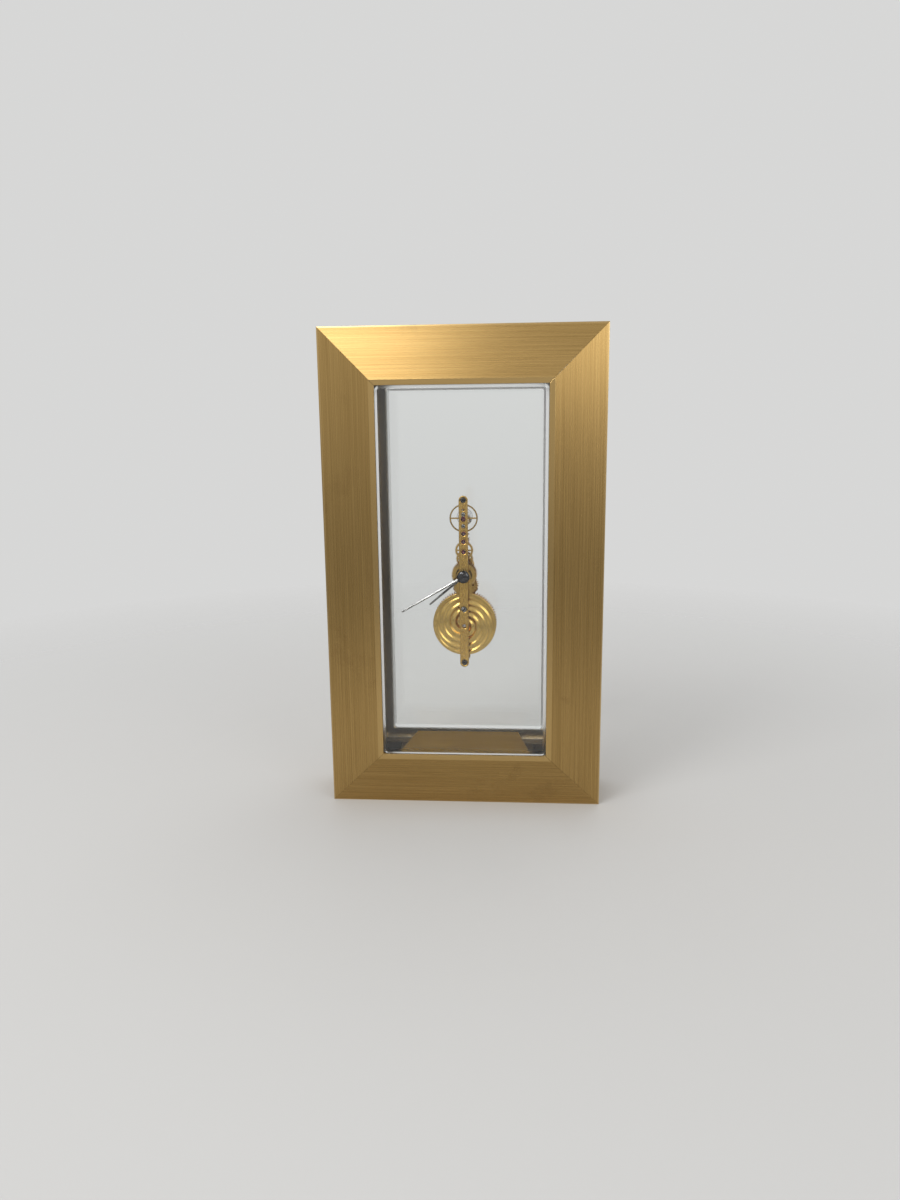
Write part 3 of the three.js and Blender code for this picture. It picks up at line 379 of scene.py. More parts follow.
# Finishes
def giltBrass(name, dark, light, roughness, grain):
    finish, place, (x, y, z) = newFinish(name)
    fine = finish.grain(x * grain[0], y * grain[1], z * grain[2])
    cloud = finish.noise(place, 420.0, 4.0, 0.55)
    pits = finish.noise(place, 2600.0, 2.0, 0.5).between(0.66, 0.74)
    tone = (fine * 0.80 + cloud * 0.20).between(0.25, 0.75)
    colour = finish.mix(pits * 0.20, finish.mix(tone, dark, light), tuple(0.45 * c for c in dark))
    rough = roughness + 0.10 * (fine - 0.5) + 0.05 * (cloud - 0.5) + 0.08 * pits
    return finish.metal(colour, rough, fine, 0.10)


# painted shade for screw slots: its tone, where it starts and is full, and extra roughness
paintedSlotShade = Values(tone=(0.010, 0.010, 0.011), start=0.10, full=0.16, dull=0.30)


def polishedSteel(name, tones, roughness, headFace=None):  # a screw's slot, below its head's face, is darkened with painted shade
    finish, place, (x, y, z) = newFinish(name)
    hairs = finish.grain(x * 900, y * 5200, z * 900)
    cloud = finish.noise(place, 300.0, 4.0, 0.6)
    colour = finish.mix((hairs * 0.4 + cloud * 0.6).between(0.34, 0.66), *tones)
    rough = roughness + 0.08 * (hairs - 0.5) + 0.08 * (cloud - 0.5)
    if headFace is not None:
        # painted shade: the slot below the head's face takes a near-black tone
        slotShadeMask = (y / mm - headFace).between(paintedSlotShade.start, paintedSlotShade.full)
        colour = finish.mix(slotShadeMask, colour, paintedSlotShade.tone)
        rough = rough + paintedSlotShade.dull * slotShadeMask
    return finish.metal(colour, rough, hairs, 0.06)


def rubyJewel():
    finish = Finish("ruby jewel")
    place = finish.place()
    veil = finish.noise(place, 700.0, 4.0, 0.6)
    depth = finish.noise(place, 2400.0, 2.0, 0.5)
    colour = finish.mix(veil.between(0.35, 0.65), (0.026, 0.002, 0.005), (0.090, 0.005, 0.015))
    rough = 0.06 + 0.06 * depth
    return finish.surface(Base_Color=colour, Roughness=rough, IOR=1.77, Specular_IOR_Level=0.3)


goldDark, goldLight = (0.50, 0.300, 0.068), (0.72, 0.465, 0.130)
giltBar = giltBrass("satin gilt bar", goldDark, goldLight, 0.27, (5200, 5200, 260))
giltPlain = giltBrass("plain gilt", goldDark, goldLight, 0.22, (2600, 2600, 2600))
giltWheel = giltBrass("gilt wheel", (0.56, 0.342, 0.084), (0.80, 0.535, 0.160), 0.18, (3000, 3000, 3000))
darkTones = (0.045, 0.044, 0.047), (0.085, 0.083, 0.086)
greyTones = (0.24, 0.235, 0.23), (0.38, 0.375, 0.37)
steelBright = polishedSteel("bright steel", ((0.38, 0.38, 0.39), (0.58, 0.58, 0.60)), 0.12)
steelHand = polishedSteel("hand steel", greyTones, 0.13)
# painted reflection: the nut's polished steel is darkened to stand in for the dark room it would mirror
steelPaintedDark = polishedSteel("dark polished steel", darkTones, 0.07)
steelPlain = polishedSteel("plain steel", ((0.34, 0.34, 0.36), (0.56, 0.56, 0.58)), 0.28)
steelRatchet = polishedSteel("ratchet steel", ((0.42, 0.42, 0.44), (0.48, 0.48, 0.50)), 0.22)
steelDull = polishedSteel("dull steel", ((0.095, 0.088, 0.080), (0.16, 0.150, 0.138)), 0.36)
blued = polishedSteel("blued steel", ((0.020, 0.018, 0.045), (0.060, 0.048, 0.12)), 0.16)
ruby = rubyJewel()
print("finishes made")


# Camera, floor and light
camera = Values(
    place=(23.0, -395.9, 171.4), right=(0.99726, 0.07322, -0.01111),
    up=(-0.00383, 0.20085, 0.97962), back=(0.07397, -0.97689, 0.20057), lens=27.0, sensor=36.0,
    clip=(0.01, 50.0),
)


def makeCamera():
    bpy.ops.object.camera_add()
    eye = bpy.context.object
    eye.name = "clockCamera"
    eye.data.lens, eye.data.sensor_width = camera.lens, camera.sensor
    eye.data.clip_start, eye.data.clip_end = camera.clip
    turn = Matrix([camera.right, camera.up, camera.back]).transposed().to_4x4()
    eye.matrix_world = Matrix.Translation(Vector(camera.place) * mm) @ turn
    bpy.context.scene.camera = eye


stageValues = Values(
    floorRadius=0.55, floorSteps=96, fadeStart=0.15, drop=0.00003,
    floorTone=(0.60, 0.595, 0.585), skyTone=(0.68, 0.68, 0.675), skyLight=0.95, frontShade=0.70,
    shadeAhead=(-0.25, 0.60), shadeLow=(-0.02, 0.24), floorRoughness=0.85,
)
lamps = Values(
    key=Values(place=(-0.46, -0.52, 0.72), size=(0.36, 0.36), power=2.2),
    rail=Values(place=(-0.46, -1.02, 0.72), size=(0.70, 0.32), power=2.6),
    fill=Values(place=(0.62, -0.85, 0.42), size=(0.50, 0.40), power=1.2),
    top=Values(place=(0.05, 0.35, 0.95), size=(0.60, 0.60), power=1.6),
)
lampTarget = Vector((0, 0, 0.1))


def makeStage():
    onlyThis()
    radius, spot = stageValues.floorRadius, (0, 0, -stageValues.drop)
    bpy.ops.mesh.primitive_circle_add(
        vertices=stageValues.floorSteps, radius=radius, fill_type="NGON", location=spot
    )
    floor = bpy.context.object
    floor.name = "floor"
    finish = Finish("pale floor")
    x, y, z = finish.parts(finish.place())
    fade = 1.0 - ((x * x + y * y) ** 0.5).between(stageValues.fadeStart, radius)
    tone, rough = (*stageValues.floorTone, 1.0), stageValues.floorRoughness
    finish.surface(Base_Color=tone, Roughness=rough, Alpha=fade)
    floor.data.materials.append(finish.material)


def makeLight():
    world = bpy.data.worlds.new("studio")
    bpy.context.scene.world = world
    sky = Finish("studio", world)
    x, y, z = sky.parts(sky.add("ShaderNodeTexCoord", out="Generated"))
    rays = sky.add("ShaderNodeLightPath", out="Is Camera Ray")
    shown = rays.most(rays.other("Is Glossy Ray")).most(rays.other("Is Transmission Ray"))
    mirrored = rays.other("Glossy Depth").held()
    inFront = (0.0 - y).between(*stageValues.shadeAhead) * (0.0 - z).between(*stageValues.shadeLow)
    pale = 1.0 - stageValues.frontShade * mirrored * inFront  # metal mirrors a darker room low in front
    strength = stageValues.skyLight + (pale - stageValues.skyLight) * shown
    sky.fill(sky.shader, {"Color": (*stageValues.skyTone, 1.0), "Strength": strength})
    for name, lamp in lamps.items():
        bpy.ops.object.light_add(type="AREA", location=lamp.place)
        light = bpy.context.object
        light.name = name + "Lamp"
        light.data.shape, light.data.energy = "RECTANGLE", lamp.power
        light.data.size, light.data.size_y = lamp.size
        aim = lampTarget - Vector(lamp.place)
        light.rotation_euler = aim.to_track_quat("-Z", "Y").to_euler()


makeCamera()
makeStage()
makeLight()
bpy.context.scene.view_settings.view_transform = "Standard"
print("camera, floor and light set")


# Case rails
rail = Values(
    edgeHalf=15.2, bevelWidth=21.7, bevelRise=4.4, lipWidth=2.3, lipThickness=2.0,
    rebate=19.6, channelHalf=10.0, wall=4.0, mitreGap=0.08, edgeRound=0.07,
    width=120.0, height=208.0, smoothBelow=6,  # flat bevels and a crisp lip
    screwSpread=20.0, screwHole=1.65, headHole=2.95, headDepth=1.7, headChamfer=0.3,
)
# the inside tone is painted shade for the channel between the plates
railFinish = Values(
    dark=(0.31, 0.192, 0.064), light=(0.49, 0.322, 0.122), lip=(0.56, 0.38, 0.155),
    tarnish=(0.23, 0.135, 0.052), worn=(0.74, 0.55, 0.28), inside=(0.145, 0.105, 0.056),
    roughness=0.26, wearReach=1.1, skin=2.0, lipStart=21.6,
)


def fromEnds(z):  # how far in from the top or the bottom of the case
    return rail.height * mm / 2 - abs(z - rail.height * mm / 2)


def brushedBrass():
    finish, place, (x, y, z) = newFinish("brushed brass")
    values, edgeHalf, skin = railFinish, rail.edgeHalf * mm, railFinish.skin * mm
    fromSide, fromEnd = rail.width * mm / 2 - abs(x), fromEnds(z)
    upright = fromSide < fromEnd  # 1 on the side rails, 0 on the top and bottom rails
    inward = fromSide.least(fromEnd)
    along = x + (z - x) * upright
    across = z + (x - z) * upright
    strands = finish.grain(along * 26, across * 6400, y * 6400)
    streaks = finish.grain(along * 7, across * 2100, y * 2100, 3.0)
    broad = finish.grain(along * 12, across * 90, y * 90, 3.0, 0.5)
    blotch = finish.noise(place, 38.0, 5.0, 0.62)
    tone = (strands * 0.40 + streaks * 0.45 + broad * 0.15).between(0.33, 0.67)
    onLip = values.lipStart * mm - inward < 0.0
    edgeGap = inward + abs(abs(y) - edgeHalf)
    worn = (1.0 - edgeGap / (values.wearReach * mm)).held() * streaks.between(0.30, 0.62)
    stain = blotch.between(0.60, 0.78) * 0.45
    below = edgeHalf + rail.bevelRise / rail.bevelWidth * inward - abs(y)
    inside = (skin - below < 0.0) * (skin - inward < 0.0)  # painted shade: the channel between the plates is darkened and dulled
    colour = finish.mix(tone, values.dark, values.light)
    colour = finish.mix(stain, colour, values.tarnish)
    colour = finish.mix(onLip * 0.75, colour, values.lip)
    colour = finish.mix(worn, colour, values.worn)
    # painted shade darkens the channel walls
    colour = finish.mix(inside * 0.92, colour, values.inside)
    roughness = values.roughness + 0.14 * (strands - 0.5) + 0.10 * stain - 0.07 * worn
    roughness = roughness - 0.05 * onLip + 0.16 * inside
    height = (strands * 0.55 + streaks * 0.45) * (1.0 - inside)
    return finish.metal(colour, roughness, height, 0.14, 0.00003)


def makeRail(length):
    lip, inner = rail.bevelWidth + rail.lipWidth, rail.edgeHalf + rail.bevelRise
    half = [
        (0, rail.edgeHalf), (rail.bevelWidth, inner), (lip, inner), (lip, inner - rail.lipThickness),
        (rail.rebate, inner - rail.lipThickness), (rail.rebate, rail.channelHalf),
        (rail.wall, rail.channelHalf),
    ]
    section = [(-length / 2, -depth, inward) for inward, depth in half]
    section += [(-length / 2, depth, inward) for inward, depth in reversed(half)]
    piece = slab(section, (length, 0, 0))
    editAll(piece)
    for side in (-1, 1):  # the mitres
        end = Vector((side * (length / 2 - rail.mitreGap / 2), 0, 0)) * mm
        selectAll()
        bpy.ops.mesh.bisect(plane_co=end, plane_no=(-side, 0, -1), use_fill=True, clear_inner=True)
    closeMesh(piece)
    return softenEdges(piece, rail.edgeRound)


def underBase(piece, side):  # from the depth axis to a screw's place under the base
    aside = Matrix.Translation((side * rail.screwSpread * mm, 0, 0))
    return applyPlace(piece, aside @ Matrix.Rotation(math.pi / 2, 4, "X"))


def makeRails():
    bottom = makeRail(rail.width)
    left = makeRail(rail.height)
    top, right = copyOf(bottom), copyOf(left)
    upper = Matrix.Translation((0, 0, rail.height * mm))
    middle = Matrix.Translation((0, 0, rail.height * mm / 2))
    applyPlace(top, upper @ Matrix.Rotation(math.pi, 4, "Y"))
    for piece, side in ((left, -1), (right, 1)):
        aside = Matrix.Translation((side * rail.width * mm / 2, 0, 0))
        applyPlace(piece, aside @ middle @ Matrix.Rotation(-side * math.pi / 2, 4, "Y"))
    head, shank, chamfer = rail.headHole, rail.screwHole, rail.headChamfer
    inside = rail.wall + toolReach
    for side in (-1, 1):
        hole = turned(Vector((0, 0, 0)), [
            (0, -toolReach), (head + chamfer + toolReach, -toolReach), (head, chamfer),
            (head, rail.headDepth), (shank, rail.headDepth), (shank, inside), (0, inside),
        ])
        cut(bottom, underBase(hole, side))
    for place, piece in {"bottom": bottom, "top": top, "left": left, "right": right}.items():
        keep(piece, brass, place + "_rail", None, rail.smoothBelow)


brass = brushedBrass()
makeRails()
print("rails made")


# Spacers between the plates and brackets in the corners
spacer = Values(
    dark=(0.15, 0.095, 0.033), light=(0.34, 0.226, 0.088), shade=(0.060, 0.050, 0.036),
    edgeTint=(0.55, 0.40, 0.20, 1.0), roughness=0.40, landFrom=23.1, landFull=23.4,
    edge=0.15, bracketEdge=0.3, smoothBelow=20,
)


def spacerBrass():  # the land is brushed, the foot below it gets painted shade
    finish, place, (x, y, z) = newFinish("brushed brass spacer")
    land = fromEnds(z).between(spacer.landFrom * mm, spacer.landFull * mm)
    strands = finish.grain(x * 26, y * 4200, z * 4200)
    streaks = finish.grain(x * 8, y * 1100, z * 1100)
    cloud = finish.noise(place, 60.0, 4.0, 0.55)
    tone = (strands * 0.35 + streaks * 0.45 + cloud * 0.20).between(0.36, 0.64)
    # painted shade: below the land the foot takes the dark shade tone
    colour = finish.mix(land, spacer.shade, finish.mix(tone, spacer.dark, spacer.light))
    rough = spacer.roughness + 0.14 * (strands - 0.5) + 0.10 * (1.0 - land)
    finish.surface(Specular_Tint=spacer.edgeTint)
    return finish.metal(colour, rough, strands, 0.12, 0.00002)


spacerBrassShadedFoot = spacerBrass()
for node in ("bottom_spacer", "top_spacer"):
    keep(refined(node, spacer.edge), spacerBrassShadedFoot, node, None, spacer.smoothBelow)
for corner in ("bottom_left", "bottom_right", "top_right", "top_left"):
    node = "bracket_" + corner
    keep(refined(node, spacer.bracketEdge), steelDull, node)
print("spacers and brackets made")


# Clear plates: a boss with a chamfered edge on a wider flange
plate = Values(
    width=71.7, height=159.7, corner=2.0, chamfer=1.2, flangeWidth=80.0, flangeHeight=168.0,
    flangeFront=17.55, flangeBack=14.55, face=20.4, cornerSteps=16, edgeRound=0.12,
    boltHole=0.9, sinkRadius=2.05, sinkDepth=1.5, barrelHole=1.5, centreHole=0.8, mouth=0.2,
    groundTo=1.0, clearFrom=1.25, smoothBelow=8, sharpest=20,
    tint=(0.975, 0.985, 0.98, 1.0), lampTint=(0.93, 0.94, 0.935, 1.0), bending=1.49,
)


def clearPlate():
    finish, place, (x, y, z) = newFinish("clear plate")
    smears = finish.grain(x * 30, y * 30, z * 14, 4.0)
    specks = finish.noise(place, 2200.0, 2.0, 0.5).between(0.74, 0.80)
    border = (rail.height - plate.height) / 2 * mm
    fromEdge = (plate.width * mm / 2 - abs(x)).least(fromEnds(z) - border)
    ground = 1.0 - fromEdge.between(plate.groundTo * mm, plate.clearFrom * mm)  # fine-ground edge
    rough = 0.004 + 0.030 * smears.between(0.52, 0.80) + 0.12 * specks + 0.30 * ground
    finish.surface(Base_Color=plate.tint, Roughness=rough, IOR=plate.bending, Transmission_Weight=1.0)
    lampRay = finish.add("ShaderNodeLightPath", out="Is Shadow Ray")
    lit = finish.add("ShaderNodeBsdfTransparent", {}, {"Color": plate.lampTint})
    glass = Wire(finish, finish.shader, finish.shader.outputs[0])
    both = finish.add("ShaderNodeMixShader", {}, {0: lampRay, 1: glass, 2: lit})
    finish.fill(finish.tree.nodes["Material Output"], {"Surface": both})
    return finish.material


def plateOutline(width, height, depth):
    corners = roundedCorners(width, height, plate.corner, plate.cornerSteps)
    return [(x, depth, rail.height / 2 + z) for x, z in corners]


def makePlate():
    front, back = plate.flangeFront, plate.flangeBack
    flange = plateOutline(plate.flangeWidth, plate.flangeHeight, -back)
    piece = slab(flange, (0, back - front, 0))
    softenEdges(piece, plate.edgeRound)
    inside = (front + back) / 2
    boss = startLine(plateOutline(plate.width, plate.height, -inside))
    bpy.ops.mesh.edge_face_add()
    extrude((0, inside - plate.face + plate.chamfer, 0))
    bpy.ops.mesh.inset(thickness=plate.chamfer * mm, depth=0)
    bpy.ops.transform.translate(value=(0, -plate.chamfer * mm, 0))
    closeMesh(boss)
    softenEdges(boss, plate.edgeRound, 2, plate.sharpest)
    return weld(piece, boss)


def makePlates():
    front = makePlate()
    rear = applyPlace(copyOf(front), Matrix.Rotation(math.pi, 4, "Z"))
    inner, outer, mouth = plate.flangeBack - toolReach, plate.face + toolReach, plate.mouth
    floor, bolt = plate.face - plate.sinkDepth, plate.boltHole
    stepped = [(0, inner), (bolt, inner), (bolt, floor), (plate.sinkRadius, floor)]
    holes = [(axes[name], stepped, plate.sinkRadius) for name in ("topMount", "bottomScrew")]
    for name in ("barrel", "centre"):
        radius = plate[name + "Hole"]
        holes.append((axes[name], [(0, inner), (radius, inner)], radius))
    for axis, start, radius in holes:
        lip = [(radius, plate.face - mouth), (radius + mouth + toolReach, outer), (0, outer)]
        drill(rear, axis, start + lip)
    for place, piece in {"front": front, "rear": rear}.items():
        keep(piece, clear, place + "_plate", None, plate.smoothBelow)


clear = clearPlate()
makePlates()
print("clear plates made")


# Fixed bars of the movement
bar = Values(
    half=1.95, steps=16, rim=0.26, front=-10.35, thick=1.8, step=-24.4, top=34.7,
    lowFront=-8.5, lowThick=1.2, bottom=-41.3, overlap=-11.6, smoothBelow=12,
    pipeHole=1.5, passHole=0.86, holeEdge=0.12, shankHole=0.9,
    headHole=1.2, headSink=1.55, headDish=0.22, headSeat=0.42, pivotHole=0.95, pivotSink=1.4,
    pivotDish=0.3, jewelHole=1.0, jewelSink=1.5, jewelDish=0.34,
    capHole=0.5, capSink=0.95, capSeat=0.32, capRim=0.16,
    dotHole=0.5, dotSink=0.85, dotDish=0.24,
    recess=(2.7, 7.1), recessDepth=0.16, endSlot=(2.0, 2.5),
    stud=0.35, studRoot=-9.45, studTip=-6.2,
)
rearBar = Values(
    front=3.0, thick=1.8, waist=((-12, 1.95), (-8.5, 5.6), (1.5, 3.85), (8, 1.1)), neck=1.1,
    boss=1.55, head=1.3, headFront=-5.85, headThick=1.2, headRim=0.208, headEdge=0.1,
    topPost=0.9, topPostTip=-5.25, post=0.35, postTip=-1.4, thinPost=0.2, thinPostTip=-3.95,
    studRadius=0.35, studTip=-1.35, springPin=0.55, springPinTip=6.2,
    springPinEdge=0.1, pillarHole=0.85, pillarEdge=0.15, shaftHole=1.25, minuteHole=0.55,
    pinHole=0.2, clickHole=0.6, holeEdge=0.12, steps=8, bossSteps=10,
)


def barOutline(low, high, roundLow, roundHigh, depth):
    half = bar.half
    upper = axisAt(0, high - half) if roundHigh else axisAt(0, high)
    lower = axisAt(0, low + half) if roundLow else axisAt(0, low)
    points = arc(upper, half, 0, math.pi, bar.steps if roundHigh else 1, depth)
    return points + arc(lower, half, math.pi, fullTurn, bar.steps if roundLow else 1, depth)


def stadium(axis, width, length, depth, steps=10):
    reach = Vector((0, 0, length / 2 - width / 2))
    upper = arc(axis + reach, width / 2, 0, math.pi, steps, depth)
    return upper + arc(axis - reach, width / 2, math.pi, fullTurn, steps, depth)


def dishProfile(hole, sink, depth, front, back, seat=None):  # a hollow turned dish round the hole
    steps, lead, curve = 6, 0.3, 1.8
    near, far, shank = front - sinkReach, back + sinkReach, bar.shankHole
    dish = []
    for i in range(steps + 1):
        share = i / steps
        dish.append((sink + (hole - sink) * share, front + depth * (1 - (1 - share) ** curve)))
    floor = [(hole, front + seat), (shank, front + seat), (shank, far)] if seat else [(hole, far)]
    return [(0, near), (sink + lead, near)] + dish + floor + [(0, far)]


def seatProfile(hole, sink, depth, front, back):  # a flat seat with a chamfered mouth
    near, far, rim = front - sinkReach, back + sinkReach, bar.capRim
    mouth = [(sink + rim + sinkReach, near), (sink + rim, front), (sink, front + rim)]
    return [(0, near)] + mouth + [(sink, front + depth), (hole, front + depth), (hole, far), (0, far)]


def makeTrainBridge():
    front, thick, back = bar.front, bar.thick, bar.front + bar.thick
    piece = slab(barOutline(bar.step, bar.top, False, True, front), (0, thick, 0))
    softenEdges(piece, bar.rim, 3)
    hollow = stadium(axes.recess, *bar.recess, front - toolReach)
    cut(piece, slab(hollow, (0, toolReach + bar.recessDepth, 0)))
    window = stadium(axes.balance, *bar.endSlot, front - toolReach)
    cut(piece, slab(window, (0, thick + 2 * toolReach, 0)))
    dishes = {
        "head": (axes.topScrew, axes.middleScrew), "jewel": (axes.pallet, axes.escape, axes.fourth),
        "pivot": (axes.barrel,), "dot": (axes.dot,),
    }
    for kind, places in dishes.items():
        size = [bar[kind + part] for part in ("Hole", "Sink", "Dish")]
        for axis in places:
            drill(piece, axis, dishProfile(*size, front, back, bar.get(kind + "Seat")))
    drill(piece, axes.centre, sinkProfile(bar.pipeHole, bar.holeEdge, front, back))
    seat = seatProfile(bar.capHole, bar.capSink, bar.capSeat, front, back)
    for axis in (axes.upperCap, axes.lowerCap):
        drill(piece, axis, seat)
    weld(piece, post(axes.motion, bar.stud, bar.studRoot, bar.studTip))
    keep(piece, giltBar, "train_bridge", None, bar.smoothBelow)


def makeBarrelBridge():
    front, back = bar.lowFront, bar.lowFront + bar.lowThick
    outline = barOutline(bar.bottom, bar.overlap, True, False, front)
    piece = slab(outline, (0, bar.lowThick, 0))
    softenEdges(piece, bar.rim, 3)
    seat = dishProfile(bar.headHole, bar.headSink, bar.headDish, front, back, bar.headSeat)
    drill(piece, axes.bottomScrew, seat)
    for place in ("middleScrew", "barrel"):
        drill(piece, axes[place], sinkProfile(bar.passHole, bar.holeEdge, front, back))
    keep(piece, giltBar, "barrel_bridge", None, bar.smoothBelow)


def rearOutline(front):
    neck, boss, steps = rearBar.neck, rearBar.boss, rearBar.steps
    reach = math.acos(neck / boss)
    right = arc(axes.bottomScrew, bar.half, -math.pi / 2, 0, steps, front)
    right += [Vector((wide, front, handsHeight + above)) for above, wide in rearBar.waist]
    right += arc(axes.topMount, boss, -reach, reach, rearBar.bossSteps, front)
    right += arc(axes.topPost, neck, 0, math.pi / 2, steps, front)
    return right + [Vector((-point.x, point.y, point.z)) for point in reversed(right[1:-1])]


def makeRearBridge():
    size, front, thick = rearBar, rearBar.front, rearBar.thick
    head, headFront = size.head, size.headFront
    back, inside, headBack = front + thick, front + thick / 2, headFront + size.headThick
    piece = slab(rearOutline(front), (0, thick, 0))
    softenEdges(piece, bar.rim, 1)
    holes = {"barrel": "shaft", "centre": "minute", "click": "click"}
    holes.update({name: "pin" for name in ("fourth", "escape", "pallet", "balance")})
    for place in ("topMount", "bottomScrew"):
        drill(piece, axes[place], sinkProfile(size.pillarHole, size.pillarEdge, front, back))
    for place, kind in holes.items():
        drill(piece, axes[place], sinkProfile(size[kind + "Hole"], size.holeEdge, front, back))
    middle = (axes.topScrew + axes.topPost) / 2
    reach = (axes.topScrew - axes.topPost).length + 2 * head
    arm = slab(stadium(middle, 2 * head, reach, headFront), (0, size.headThick, 0))
    softenEdges(arm, size.headRim, 1)
    drill(arm, axes.topScrew, sinkProfile(size.pillarHole, size.headEdge, headFront, headBack))
    weld(
        piece,
        post(axes.intermediate, size.post, inside, size.postTip),
        post(axes.topPost, size.topPost, inside, size.topPostTip),
        arm,
        post(axes.third, size.thinPost, inside, size.thinPostTip),
        post(axes.springPost, size.studRadius, inside, size.studTip),
        post(axes.springStud, size.springPin, inside, size.springPinTip, size.springPinEdge),
    )
    keep(piece, giltPlain, "rear_bridge")


makeTrainBridge()
makeBarrelBridge()
makeRearBridge()
print("bars made")


# Screws: a slotted head with a chamfer, seen from the front (1) or from the back (-1)
screwKinds = Values(
    bridge=Values(head=1.15, height=0.55, shank=0.75, reach=3.2, slot=0.38, slotDepth=0.26),
    middle=Values(head=1.15, height=0.55, shank=0.75, reach=2.7, slot=0.40, slotDepth=0.42),
    mount=Values(head=1.9, height=1.2, shank=0.75, reach=7.25, slot=0.5, slotDepth=0.5),
    cap=Values(head=0.86, height=0.42, shank=0.45, reach=1.3, slot=0.28, slotDepth=0.32),
    click=Values(head=1.0, height=0.55, shank=0.55, reach=3.2, slot=0.34, slotDepth=0.26),
    base=Values(head=2.8, height=1.6, shank=1.5, reach=11.4, slot=0.7, slotDepth=0.7),
)
screwEdge = Values(share=0.14, inset=0.02, bendIn=0.4, bendDown=0.35, tip=0.7, tipLength=1 / 3)
screwFaces = Values(proud=0.1, mount=20.15, click=6.8, base=0.05, baseTurn=25)


def screw(kind, axis, face, slotTurn, facing=1):
    size = screwKinds[kind]
    head, height, shank = size.head, size.height, size.shank
    edge, end = screwEdge.share * head, height + size.reach
    bend = (head - screwEdge.bendIn * edge, screwEdge.bendDown * edge)
    steps = [
        (0, 0), (head - edge - screwEdge.inset, 0), bend, (head, edge), (head, height), (shank, height),
        (shank, end - shank * screwEdge.tipLength), (shank * screwEdge.tip, end), (0, end),
    ]
    profile = [(radius, face + facing * depth) for radius, depth in steps]
    piece = turned(axis, profile, sides.usual)
    bit = (4 * head, 2 * size.slotDepth, size.slot)
    return cut(piece, block(bit, (axis.x, face, axis.z), math.radians(slotTurn)))


def makeScrews():
    high, low = bar.front - screwFaces.proud, bar.lowFront - screwFaces.proud
    darkHigh = polishedSteel("upper screw steel", darkTones, 0.07, high)
    darkLow = polishedSteel("lower screw steel", darkTones, 0.07, low)
    grey = polishedSteel("grey screw steel", greyTones, 0.13, high)
    back = screwFaces.mount
    rows = (
        ("top_bridge_screw", "bridge", axes.topScrew, high, -25, 1, darkHigh),
        ("bottom_bridge_screw", "bridge", axes.bottomScrew, low, 20, 1, darkLow),
        ("middle_bridge_screw", "middle", axes.middleScrew, high, -45, 1, grey),
        ("top_mount_screw", "mount", axes.topMount, back, 35, -1, steelBright),
        ("bottom_mount_screw", "mount", axes.bottomScrew, back, -15, -1, steelBright),
        ("upper_jewel_screw", "cap", axes.upperCap, high, 30, 1, grey),
        ("lower_jewel_screw", "cap", axes.lowerCap, high, 30, 1, grey),
        ("click_screw", "click", axes.click, screwFaces.click, 50, -1, blued),
    )
    for node, kind, axis, face, slotTurn, facing, finish in rows:
        keep(screw(kind, axis, face, slotTurn, facing), finish, node)
    for node, side in (("base_screw_left", -1), ("base_screw_right", 1)):
        piece = screw("base", Vector((0, 0, 0)), screwFaces.base, screwFaces.baseTurn * side)
        keep(underBase(piece, side), steelPlain, node)


makeScrews()
print("screws made")


# Jewels, pillars and stand-offs
jewel = Values(
    radius=0.95, bore=0.2, front=0.42, back=0.1, cup=0.32, edge=(0.05, 0.06), flat=0.86,
    bowl=(0.3, 0.45, 0.6, 0.75),
    endWidth=1.9, endLength=2.4, endThick=1.6, endFront=0.1, endRound=0.22, endSink=(0.42, 0.3),
)
pillar = Values(
    stud=0.8, wide=1.55, waist=1.3, edge=0.15, flange=1.0, slope=0.35,
    front=-7.25, shoulder=2.95, socket=3.2, tip=7.8, tipEdge=0.2,
    topFront=-8.5, topSocket=1.6, topEdge=0.12, topGap=0.05, topTipEdge=0.1,
)
standoff = Values(
    near=4.85, far=14.5, wide=1.5, waist=1.3, edge=0.15, flange=1.2, slope=0.3,
    bore=0.8, socket=4.0, stud=0.8, studEnd=3.05, studEdge=0.1, seat=0.85, seatEnd=7.85,
)


def makeJewels():
    front, back = bar.front + jewel.front, bar.front + bar.thick - jewel.back
    radius, bore, cup = jewel.radius, jewel.bore, jewel.cup
    bowl = [(radius * share, front + cup * (1 - share * share)) for share in jewel.bowl]
    inset, rise = jewel.edge
    rim = [(radius * jewel.flat, front), (radius - inset, front), (radius, front + rise)]
    profile = [(bore, back), (bore, front + cup)] + bowl + rim + [(radius, back), (bore, back)]
    for name in ("pallet", "escape", "fourth"):
        keep(turned(axes[name], profile, sides.usual), ruby, name + "_jewel")
    face, thick = bar.front + jewel.endFront, jewel.endThick
    outline = stadium(axes.balance, jewel.endWidth, jewel.endLength, face)
    piece = softenEdges(slab(outline, (0, thick, 0)), jewel.endRound, 3)
    width, depth = jewel.endSink
    drill(piece, axes.balance, sinkProfile(bore, width, face, face + thick, depth))
    keep(piece, ruby, "balance_jewel")


def spool(size, front, back):  # two flanges and a waist
    wide, waist, edge, flange = size.wide, size.waist, size.edge, size.flange
    inner = flange + size.slope
    return [
        (wide - edge, front), (wide, front + edge), (wide, front + flange), (waist, front + inner),
        (waist, back - inner), (wide, back - flange), (wide, back - edge), (wide - edge, back),
    ]


